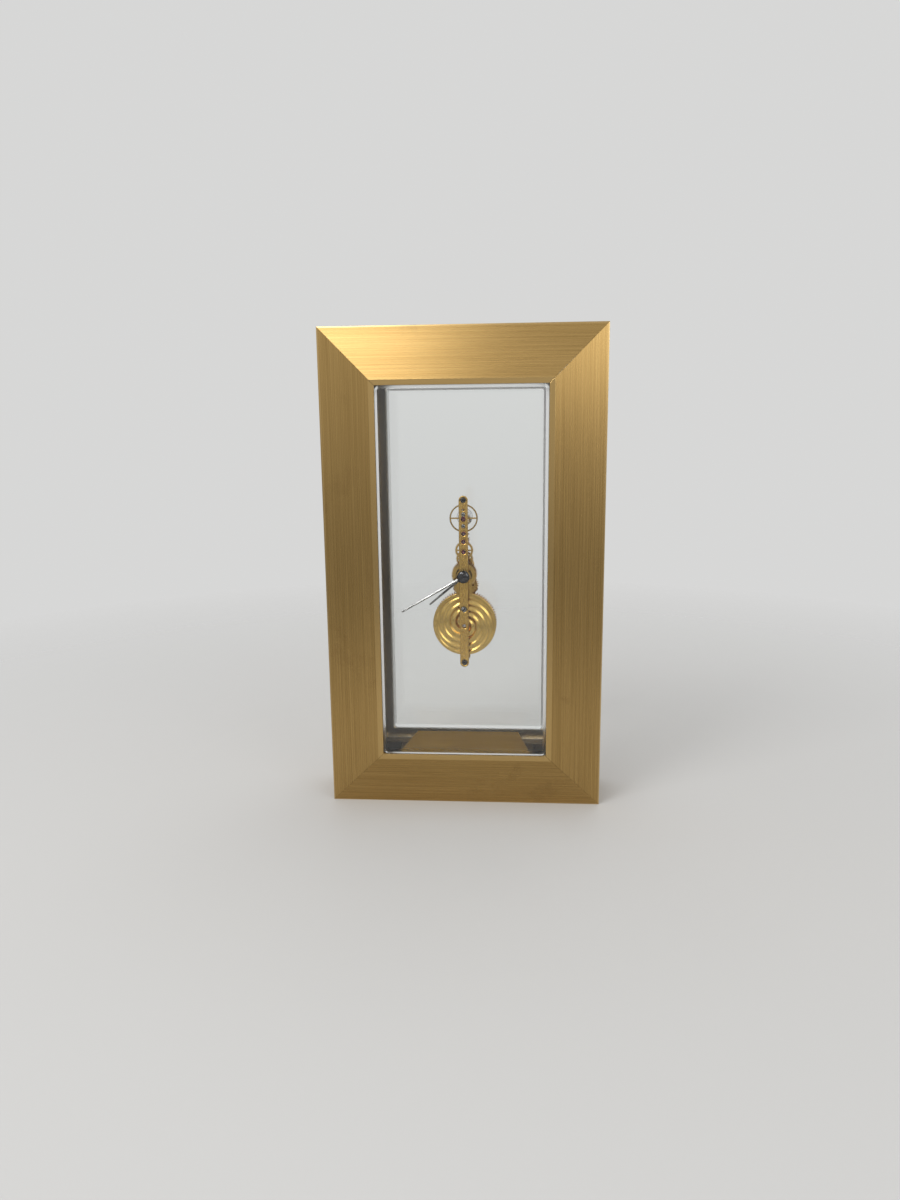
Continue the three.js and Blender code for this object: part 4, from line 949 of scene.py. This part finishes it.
def makePillars():
    stud, front, shoulder, tip = pillar.stud, pillar.front, pillar.shoulder, pillar.tip
    profile = [(0, front + pillar.socket), (stud, front + pillar.socket), (stud, front)]
    profile += spool(pillar, front, shoulder) + [(stud, shoulder), (stud, tip - pillar.tipEdge)]
    profile += [(stud - pillar.tipEdge, tip), (0, tip)]
    keep(turned(axes.bottomScrew, profile), giltPlain, "bottom_pillar")
    front, shoulder = pillar.topFront, rearBar.headFront - pillar.topGap
    socket, tip, edge = front + pillar.topSocket, rearBar.headFront + rearBar.headThick, pillar.topTipEdge
    profile = [(0, socket), (stud, socket), (stud, front)]
    profile += eased(rearBar.head, front, shoulder, pillar.topEdge)
    profile += [(stud, shoulder), (stud, tip - edge), (stud - edge, tip), (0, tip)]
    keep(turned(axes.topScrew, profile), giltPlain, "top_pillar")


def makeStandoffs():
    near, far, bore, stud = standoff.near, standoff.far, standoff.bore, standoff.stud
    end, edge, seat, seatEnd = (standoff[part] for part in ("studEnd", "studEdge", "seat", "seatEnd"))
    floor = far - standoff.socket
    body = spool(standoff, near, far) + [(bore, far), (bore, floor), (0, floor)]
    top = [(0, end), (stud - edge, end), (stud, end + edge), (stud, near)]
    bottom = [(0, seatEnd), (seat, seatEnd), (seat, near)]
    keep(turned(axes.topMount, top + body), giltPlain, "top_standoff")
    keep(turned(axes.bottomScrew, bottom + body), giltPlain, "bottom_standoff")


makeJewels()
makePillars()
makeStandoffs()
print("jewels, pillars and stand-offs made")


# Hands and their nut
hands = Values(
    width=1.1, tip=0.8, blunt=0.35, bluntShare=0.45, thick=0.5, edge=0.16, soft=0.035,
    hub=2.2, hubFront=0.06, hubSlope=0.3, hubSide=0.2, hubBack=(0.04, 0.03),
    rootGap=0.4, spine=0.1, smoothBelow=10,
    minute=Values(length=31.3, front=-12.35, bore=0.85, turn=240),
    hour=Values(length=19.5, front=-11.35, bore=1.4, turn=230),
)
nut = Values(
    radius=2.75, front=-13.9, back=-12.4, rim=0.4, bore=0.87, bottom=-13.15, edge=0.08,
    dot=0.34, dotDeep=0.16, dotEdge=0.12, dotRim=0.03, steps=16, firstStep=3,
)


def makeHand(kind):
    size, blunt, hub = hands[kind], hands.blunt, hands.hub
    front, bore = size.front, size.bore
    back, start, face = front + hands.thick, bore + hands.rootGap, front + hands.hubFront
    half, side = hands.width / 2, back - hands.edge
    section = [(-half, back), (half, back), (half, side), (0, front), (-half, side)]
    baton = startLine([(x, depth, handsHeight + start) for x, depth in section])
    bpy.ops.mesh.edge_face_add()
    selectAll()
    taper, spot = hands.tip / hands.width, (0, (back - hands.spine) * mm, 0)
    ends = ((size.length - blunt - start, taper, 1), (blunt, hands.bluntShare, hands.bluntShare))
    for reach, narrow, thin in ends:
        extrude((0, 0, reach))
        bpy.ops.transform.resize(value=(narrow, thin, 1), center_override=spot)
    closeMesh(baton)
    softenEdges(baton, hands.soft, 1)
    inset, rise = hands.hubBack
    ring = turned(axes.centre, [
        (bore, face), (hub - hands.hubSlope, face), (hub, front + hands.hubSide), (hub, back - rise),
        (hub - inset, back), (bore, back), (bore, face),
    ], sides.ring)
    weld(baton, ring)
    turnAbout(baton, axes.centre, math.radians(size.turn))
    keep(baton, steelHand, kind + "_hand", None, hands.smoothBelow)


def makeNut():
    radius, front, back, edge, dot = (nut[part] for part in ("radius", "front", "back", "edge", "dot"))
    base = back - nut.rim
    profile = [(0, front + nut.dotDeep), (dot, front + nut.dotEdge), (dot + edge, front + nut.dotRim)]
    for i in range(nut.firstStep, nut.steps + 1):
        share = math.sin(i / nut.steps * math.pi / 2)
        profile.append((radius * share, base - (base - front) * math.sqrt(1 - share * share)))
    profile += [(radius, back - edge), (radius - edge, back), (nut.bore, back)]
    profile += [(nut.bore, nut.bottom), (0, nut.bottom)]
    keep(turned(axes.centre, profile, sides.ring), steelPaintedDark, "hand_nut")


makeHand("minute")
makeHand("hour")
makeNut()
print("hands made")


# Wheels: one tooth with its sector, copied round, made thick, then crossed out
wheel = Values(
    rim=0.75, hub=1.2, arms=4, arm=0.6, edge=0.035, thick=0.6, corner=0.14, boreEdge=0.08,
    foot=1.6, leafEdge=0.02, rimSteps=14, hubSteps=8, sharpest=50,
)
toothShape = (  # modules out from the pitch circle, share of a pitch from the middle
    (-1.6, -0.5), (-1.6, -0.25), (-0.9, -0.215), (0.0, -0.2), (0.4, -0.13), (0.68, -0.07), (0.8, -0.02),
)
sawShape = (0.0, 0.0), (1.0, 0.12), (0.85, 0.4), (0.42, 0.75), (0.0, 1.0)  # shares of depth and pitch


def gearPair(wheelAxis, pinionAxis, teeth, leaves):
    towards = pinionAxis - wheelAxis
    angle = math.atan2(towards.z, towards.x)
    radius = towards.length * teeth / (teeth + leaves)
    across = angle + math.pi + math.pi / leaves
    return Values(
        wheel=Values(axis=wheelAxis, teeth=teeth, radius=radius, at=angle),
        pinion=Values(axis=pinionAxis, teeth=leaves, radius=towards.length - radius, at=across),
    )


barrelPair = gearPair(axes.barrel, axes.intermediate, 75, 15)
intermediatePair = gearPair(axes.intermediate, axes.centre, 20, 20)
centrePair = gearPair(axes.centre, axes.third, 56, 7)
thirdPair = gearPair(axes.third, axes.fourth, 45, 6)
fourthPair = gearPair(axes.fourth, axes.escape, 60, 6)
cannonPair = gearPair(axes.motion, axes.centre, 24, 12)
hourPair = gearPair(axes.centre, axes.motion, 48, 8)


def ringOf(axis, shape, copies, depths, edge, at=0.0, sharpest=30):  # radius, share of a pitch
    front, back = depths
    sector = [polar(axis, 0, 0, front)]
    sector += [polar(axis, radius, at + share * fullTurn / copies, front) for radius, share in shape]
    return softenEdges(slab(sector, (0, back - front, 0), axis, copies), edge, 1, sharpest)


def toothed(gear, front, back, edge=wheel.edge):
    module = 2 * gear.radius / gear.teeth
    rising = [(gear.radius + out * module, share) for out, share in toothShape]
    whole = rising + [(radius, -share) for radius, share in reversed(rising)]
    return ringOf(gear.axis, whole, gear.teeth, (front, back), edge, gear.at)


def sawWheel(axis, size):  # each tooth steep on one side
    shape = [(size.radius - size.depth * fall, share) for fall, share in sawShape]
    return ringOf(axis, shape, size.teeth, (size.front, size.back), wheel.edge)


def boreOut(piece, axis, size):
    return drill(piece, axis, sinkProfile(size.bore, size.boreEdge, size.front, size.back))


def crossOut(piece, axis, hub, rim, arms, width, front, back):
    outer, inner = width / 2 / rim, width / 2 / hub
    spread, near = fullTurn / arms, front - toolReach
    window = arc(axis, rim, outer, spread - outer, wheel.rimSteps, near)
    window += arc(axis, hub, spread - inner, inner, wheel.hubSteps, near)
    tool = slab(window, (0, back - front + 2 * toolReach, 0), axis, arms)
    return cut(piece, softenEdges(tool, wheel.corner, 2, wheel.sharpest))


def trainWheel(node, gear, front, bore):
    axis, back = gear.axis, front + wheel.thick
    piece = toothed(gear, front, back)
    root = gear.radius - wheel.foot * 2 * gear.radius / gear.teeth
    crossOut(piece, axis, wheel.hub, root - wheel.rim, wheel.arms, wheel.arm, front, back)
    drill(piece, axis, sinkProfile(bore, wheel.boreEdge, front, back))
    return keep(piece, giltWheel, node)


def shaftProfile(front, steps, edge):  # steps: radius and the depth where that step ends
    profile, depth = [(0, front)], front
    for radius, end in steps:
        profile += eased(radius, depth, end, edge)
        depth = end
    return profile + [(0, depth)]


def shaft(axis, size, steps):
    return turned(axis, shaftProfile(size.arborFront, size.arborSteps, size.arborEdge), steps)


# Motion works: minute arbor, hour wheel and motion wheel
motionWorks = Values(
    arborFront=-13.1, arborSteps=((0.8, -5.95), (0.5, 25.95)), arborEdge=0.05,
    lowFront=-6.95, lowBack=-6.15, highFront=-8.15, highBack=-7.35, hourEdge=0.05,
    pipe=1.35, pipeFront=-11.35, pipeBack=-7.8, pipeEdge=0.05, hourBore=0.85, hourBoreEdge=0.1,
    hourHollow=(2.1, 3.6, -8.03, 0.2, 0.05), motionHollow=(1.5, 3.1, -6.85, 0.1, 0.05),
    leafBack=-6.55, motionBore=0.4, motionBoreEdge=0.06,
)


def turnHollow(piece, axis, inner, outer, floor, slope, depth):  # a ring turned out of the front face
    near = floor - toolReach
    return cut(piece, turned(axis, [
        (inner, near), (inner, floor), (inner + slope, floor + depth), (outer - slope, floor + depth),
        (outer, floor), (outer, near), (inner, near),
    ], sides.ring))


def makeMotionWorks():
    axis, size = axes.centre, motionWorks
    low, high = (size.lowFront, size.lowBack), (size.highFront, size.highBack)
    arbor = shaft(axis, size, sides.hub)
    weld(arbor, toothed(cannonPair.pinion, *low))
    keep(arbor, steelPlain, "minute_arbor")
    hour = toothed(hourPair.wheel, *high, size.hourEdge)
    turnHollow(hour, axis, *size.hourHollow)
    weld(hour, post(axis, size.pipe, size.pipeBack, size.pipeFront, size.pipeEdge, sides.usual))
    drill(hour, axis, sinkProfile(size.hourBore, size.hourBoreEdge, size.pipeFront, size.highBack))
    keep(hour, giltWheel, "hour_wheel")
    gear = cannonPair.wheel
    motion = toothed(gear, *low)
    turnHollow(motion, gear.axis, *size.motionHollow)
    weld(motion, toothed(hourPair.pinion, size.highFront, size.leafBack))
    bore = sinkProfile(size.motionBore, size.motionBoreEdge, size.highFront, size.lowBack)
    drill(motion, gear.axis, bore)
    keep(motion, giltWheel, "motion_wheel")


# Going train, from the barrel to the escape wheel: depths in front and behind, bores and pipes
train = Values(
    intermediatePinion=Values(leaves=(-0.8, 0.8), bore=0.4, pipe=0.65, ends=(-1.0, 2.65)),
    centrePinion=Values(leaves=(1.8, 2.8), bore=0.55, pipe=0.72, ends=(-3.55, 2.6)),
    thirdPinion=Values(leaves=(-3.55, -2.15), bore=0.25, pipe=0.38, ends=(-3.55, -0.75)),
    fourthLeaves=(-2.15, -0.75), escapeLeaves=(-5.35, -3.95), pipeEdge=0.04,
    intermediateWheel=(2.0, 0.7), centreWheel=(-3.15, 0.77), thirdWheel=(-1.75, 0.36),
    fourthWheel=(-4.95, 0.35), arborFront=-9.4, arborSteps=((0.15, -8.45), (0.3, 2.9), (0.15, 3.8)),
    arborEdge=0.03,
)
escape = Values(
    teeth=15, radius=2.6, depth=0.75, front=-3.15, back=-2.55, hub=0.6, rim=1.25, arms=3,
    arm=0.5, bore=0.32, boreEdge=0.04,
)


def pipePinion(name, gear, finish, node, slot=None):
    size, edge, axis = train[name], train.pipeEdge, gear.axis
    (leafFront, leafBack), (front, back) = size.leaves, size.ends
    piece = toothed(gear, leafFront, leafBack)
    weld(piece, turned(axis, shaftProfile(front, ((size.pipe, back),), edge), sides.hub))
    drill(piece, axis, sinkProfile(size.bore, edge, min(front, leafFront), max(back, leafBack)))
    return keep(piece, finish, node, slot, name=name)


def pinionArbor(gear, leaves):
    return weld(shaft(gear.axis, train, sides.post), toothed(gear, *leaves, wheel.leafEdge))


def makeEscape():
    axis, size = axes.escape, escape
    piece = sawWheel(axis, size)
    crossOut(piece, axis, size.hub, size.rim, size.arms, size.arm, size.front, size.back)
    keep(boreOut(piece, axis, size), giltWheel, "escape_wheel")
    arbor = pinionArbor(fourthPair.pinion, train.escapeLeaves)
    keep(arbor, steelBright, "escape_wheel", "polished_steel", name="escapeArbor")


def makeTrain():
    pipePinion("intermediatePinion", barrelPair.pinion, giltWheel, "intermediate_pinion")
    trainWheel("intermediate_wheel", intermediatePair.wheel, *train.intermediateWheel)
    pipePinion("centrePinion", intermediatePair.pinion, steelBright, "centre_pinion")
    trainWheel("centre_wheel", centrePair.wheel, *train.centreWheel)
    trainWheel("third_wheel", thirdPair.wheel, *train.thirdWheel)
    pipePinion("thirdPinion", centrePair.pinion, steelBright, "third_wheel", "polished_steel")
    fourth = pinionArbor(thirdPair.pinion, train.fourthLeaves)
    keep(fourth, steelBright, "fourth_pinion")
    trainWheel("fourth_wheel", fourthPair.wheel, *train.fourthWheel)
    makeEscape()


makeMotionWorks()
makeTrain()
print("motion works and train made")


# Lever, balance and hairspring
lever = Values(
    right=[
        (0, -0.65), (0.56, -0.65), (1.785, -1.295), (2.345, -1.015), (0.56, 0.45), (0.28, 0.84),
        (0.28, 3.7), (0.75, 4.15), (0.75, 4.9), (0.35, 4.9), (0.35, 4.15),
    ],
    front=-3.15, thick=0.6, edge=0.05,
    arborFront=-9.45, arborSteps=((0.15, -8.5), (0.18, 2.95), (0.15, 3.8)), arborEdge=0.03,
)
balance = Values(
    radius=6.1, rim=0.6, front=-7.35, back=-6.35, arm=0.6, armEdge=0.08, hub=1.0, hubEdge=0.08,
    bore=0.55, boreEdge=0.06, round=0.14, arborFront=-9.45, arborEdge=0.04,
    arborSteps=((0.15, -8.45), (0.5, -3.35), (1.2, -2.35), (0.5, 2.9), (0.15, 3.8)),
    spring=Values(inner=0.9, pitch=0.55, turns=5, thick=0.1, front=-1.35, back=-0.55),
)
springSteps, springSmooth = 48, 40  # points in each turn, and the shading angle


def makeLever():
    axis = axes.pallet
    left = [(-x, z) for x, z in reversed(lever.right[1:])]
    outline = [(axis.x + x, lever.front, axis.z + z) for x, z in lever.right + left]
    piece = softenEdges(slab(outline, (0, lever.thick, 0)), lever.edge, 1)
    keep(weld(piece, shaft(axis, lever, sides.pin)), steelBright, "pallet_lever")


def makeBalance():
    axis, front, back, edge = axes.balance, balance.front, balance.back, balance.round
    outer, inner, bore = balance.radius, balance.radius - balance.rim, balance.bore
    ring = turned(axis, [
        (inner + edge, front), *eased(outer, front, back, edge), (inner + edge, back),
        (inner, back - edge), (inner, front + edge), (inner + edge, front),
    ], sides.rim)
    reach = 2 * inner + balance.rim
    arms = block((reach, balance.arm, balance.arm), (axis.x, (front + back) / 2, axis.z))
    boss = [(bore, front), *eased(balance.hub, front, back, balance.hubEdge), (bore, back), (bore, front)]
    weld(ring, softenEdges(arms, balance.armEdge, 1), turned(axis, boss, sides.hub))
    keep(boreOut(ring, axis, balance), giltWheel, "balance_wheel")
    keep(shaft(axis, balance, sides.usual), steelBright, "balance_staff")


def spiral(axis, size, endAngle):
    count, front = size.turns * springSteps, size.front
    points = []
    for i in range(count + 1):
        angle = endAngle - (count - i) * fullTurn / springSteps
        points.append(polar(axis, size.inner + size.pitch * i / springSteps, angle, front))
    piece = startLine(points)
    extrude((0, size.back - front, 0))
    even = {"offset": 0.0, "use_even_offset": True}
    return modify(closeMesh(piece), "SOLIDIFY", thickness=size.thick * mm, **even)


makeLever()
makeBalance()
hairspring = spiral(axes.balance, balance.spring, math.pi / 2)
keep(hairspring, blued, "hairspring", None, springSmooth, "balanceSpring")
print("lever, balance and hairspring made")


# Barrel with its cover, spring and arbor
barrel = Values(
    drum=13.3, wall=0.8, front=-5.0, back=1.6, frontEdge=0.1, backEdge=0.3, hole=1.25,
    ringFront=-0.6, ringBack=0.6, toothEdge=0.03,
    arborFront=-8.45, arborSteps=((0.8, -4.4), (2.4, 0.75), (1.2, 27.95)), arborEdge=0.1,
    spring=Values(inner=2.85, pitch=1.8, turns=5, thick=0.3, front=-4.05, back=0.4),
)
cover = Values(
    radius=14.0, front=-5.75, back=-5.05, spigot=12.45, spigotBack=-4.45, bore=0.86, edge=0.08,
    boreEdge=0.05, waveStart=1.6, waveEnd=12.9, waveFade=0.5, waveLength=2.8, waveArms=3,
    waveDepth=0.46, rings=66, spokes=192, smoothBelow=50,
    dark=(0.55, 0.355, 0.095), light=(0.76, 0.525, 0.170), roughness=0.17,
)


def swirlGilt():  # turned work: the grain runs round the axis
    finish, place, (x, y, z) = newFinish("swirled gilt cover")
    sideways, above = x - axes.barrel.x * mm, z - axes.barrel.z * mm
    radius = (sideways * sideways + above * above) ** 0.5
    angle = sideways.maths("ARCTAN2", above, sideways)
    rings = finish.grain(radius * 5200, angle * 1.3, y * 2600)
    cloud = finish.noise(place, 360.0, 4.0, 0.55)
    colour = finish.mix((rings * 0.75 + cloud * 0.25).between(0.25, 0.75), cover.dark, cover.light)
    rough = cover.roughness + 0.10 * (rings - 0.5) + 0.05 * (cloud - 0.5)
    return finish.metal(colour, rough, rings, 0.08)


def makeDrum():
    axis, front, back, radius = axes.barrel, barrel.front, barrel.back, barrel.drum
    inner, floor, hole = radius - barrel.wall, back - barrel.wall, barrel.hole
    frontEdge, backEdge = barrel.frontEdge, barrel.backEdge
    piece = toothed(barrelPair.wheel, barrel.ringFront, barrel.ringBack, barrel.toothEdge)
    weld(piece, turned(axis, [
        (0, front), (radius - frontEdge, front), (radius, front + frontEdge), (radius, back - backEdge),
        (radius - backEdge, back), (0, back),
    ], sides.rim))
    drill(piece, axis, [
        (0, front - toolReach), (inner, front - toolReach), (inner, floor), (hole, floor),
        (hole, back + toolReach), (0, back + toolReach),
    ], sides.rim)
    keep(piece, giltPlain, "barrel_drum")


def makeCover():
    axis, front, back, bore = axes.barrel, cover.front, cover.back, cover.bore
    radius, spigot, spigotBack, rings = cover.radius, cover.spigot, cover.spigotBack, cover.rings
    start = bore + cover.boreEdge
    reach = radius - cover.edge - start
    profile = [(bore, spigotBack), (bore, front + cover.boreEdge)]
    profile += [(start + reach * i / rings, front) for i in range(rings + 1)]
    profile += [(radius, front + cover.edge), (radius, back), (spigot, back), (spigot, spigotBack)]
    piece = turned(axis, profile + [(bore, spigotBack)], cover.spokes)
    for vertex in piece.data.vertices:  # the wave of the face
        if abs(vertex.co.y / mm - front) < 1e-3:
            x, z = vertex.co.x / mm - axis.x, vertex.co.z / mm - axis.z
            out, angle = math.hypot(x, z), math.atan2(z, x)
            rise = min(max((out - cover.waveStart) / cover.waveFade, 0), 1)
            fall = min(max((cover.waveEnd - out) / cover.waveFade, 0), 1)
            phase = out / cover.waveLength * fullTurn + cover.waveArms * angle
            vertex.co.y += cover.waveDepth * mm * rise * fall * (0.5 - 0.5 * math.cos(phase))
    keep(piece, swirlGilt(), "barrel_cover", None, cover.smoothBelow)


def makeBarrelInside():
    axis = axes.barrel
    spring = spiral(axis, barrel.spring, 0.0)
    keep(spring, steelPlain, "mainspring", None, springSmooth, "barrelSpring")
    keep(shaft(axis, barrel, sides.usual), steelPlain, "barrel_arbor")


# Winding: ratchet and click, key and setting knob
ratchet = Values(
    teeth=24, radius=6.0, depth=0.7, front=5.2, back=6.2, bore=1.25, boreEdge=0.1,
    groove=((2.4, 6.1), (2.6, 6.05), (4.0, 6.05), (4.2, 6.1)), clickEdge=0.08, bladeEdge=0.06,
)
key = Values(
    front=21.0, back=28.0, hub=2.2, bore=1.25, length=18.0, height=7.0, thick=2.0,
    corner=3.0, cornerSteps=8, eye=1.6, eyeReach=5.6, eyeSteps=24, edge=0.35, smoothBelow=15,
    hubEdge=0.2, hubOver=0.02, grooveFrom=1.0, grooveTo=1.6, grooveLean=0.15,
)
knob = Values(
    front=21.0, back=26.0, core=2.95, bore=0.55, ridges=36, edge=0.4, dish=1.6, dishFloor=1.3,
    dishDepth=0.25, gripInset=0.7, gripEdge=0.1, gripSharpest=60, steps=80,
    ridge=((2.85, -0.5), (2.87, -0.4), (3.16, -0.12), (3.2, 0), (3.16, 0.12), (2.87, 0.4), (2.85, 0.5)),
)


def makeRatchet():
    axis, groove, outside = axes.barrel, list(ratchet.groove), ratchet.back + toolReach
    piece = sawWheel(axis, ratchet)
    start, end = (groove[0][0], outside), (groove[-1][0], outside)
    cut(piece, turned(axis, [start] + groove + [end, start], sides.ring))
    keep(boreOut(piece, axis, ratchet), steelRatchet, "ratchet_wheel")
    pawl, blade = refined("click", ratchet.clickEdge), refined("click_spring", ratchet.bladeEdge)
    keep(pawl, steelBright, "click", name="clickPawl")
    keep(blade, steelPlain, "click_spring", name="clickBlade")


def boreThrough(piece, axis, size):
    near, far = size.front - toolReach, size.back + toolReach
    return drill(piece, axis, [(0, near), (size.bore, near), (size.bore, far), (0, far)])


def makeKey():
    axis, thick, hub, hubEdge = axes.barrel, key.thick, key.hub, key.hubEdge
    front, back, middle = key.front, key.back, (key.front + key.back) / 2
    corners = roundedCorners(key.length, key.height, key.corner, key.cornerSteps)
    outline = [(x, middle + y, axis.z - thick / 2) for x, y in corners]
    piece = softenEdges(slab(outline, (0, 0, thick)), key.edge, 3)
    turns = [i / key.eyeSteps * fullTurn for i in range(key.eyeSteps)]
    for side in (-1, 1):
        circle = [(side * key.eyeReach + key.eye * math.cos(a), key.eye * math.sin(a)) for a in turns]
        eye = [(x, middle + y, axis.z - thick) for x, y in circle]
        cut(piece, slab(eye, (0, 0, 2 * thick)))
    near, far, waist, lean = front - key.hubOver, back + key.hubOver, hub - hubEdge, key.grooveLean
    grooveFrom, grooveTo = front + key.grooveFrom, front + key.grooveTo
    weld(piece, turned(axis, [
        (0, near), (waist, near), (hub, front + hubEdge), (hub, grooveFrom), (waist, grooveFrom + lean),
        (waist, grooveTo - lean), (hub, grooveTo), (hub, back - hubEdge), (waist, far), (0, far),
    ]))
    keep(boreThrough(piece, axis, key), giltPlain, "winding_key", None, key.smoothBelow)


def makeKnob():
    axis, front, back, floor = axes.centre, knob.front, knob.back, knob.back - knob.dishDepth
    core = eased(knob.core, front, back, knob.edge)
    profile = [(0, front), *core, (knob.dish, back), (knob.dishFloor, floor), (0, floor)]
    piece = turned(axis, profile, knob.steps)
    depths = front + knob.gripInset, back - knob.gripInset
    grip = ringOf(axis, knob.ridge, knob.ridges, depths, knob.gripEdge, sharpest=knob.gripSharpest)
    weld(piece, grip)
    keep(boreThrough(piece, axis, knob), giltPlain, "setting_knob")


makeDrum()
makeCover()
makeBarrelInside()
makeRatchet()
makeKey()
makeKnob()
print("barrel, ratchet, key and knob made")
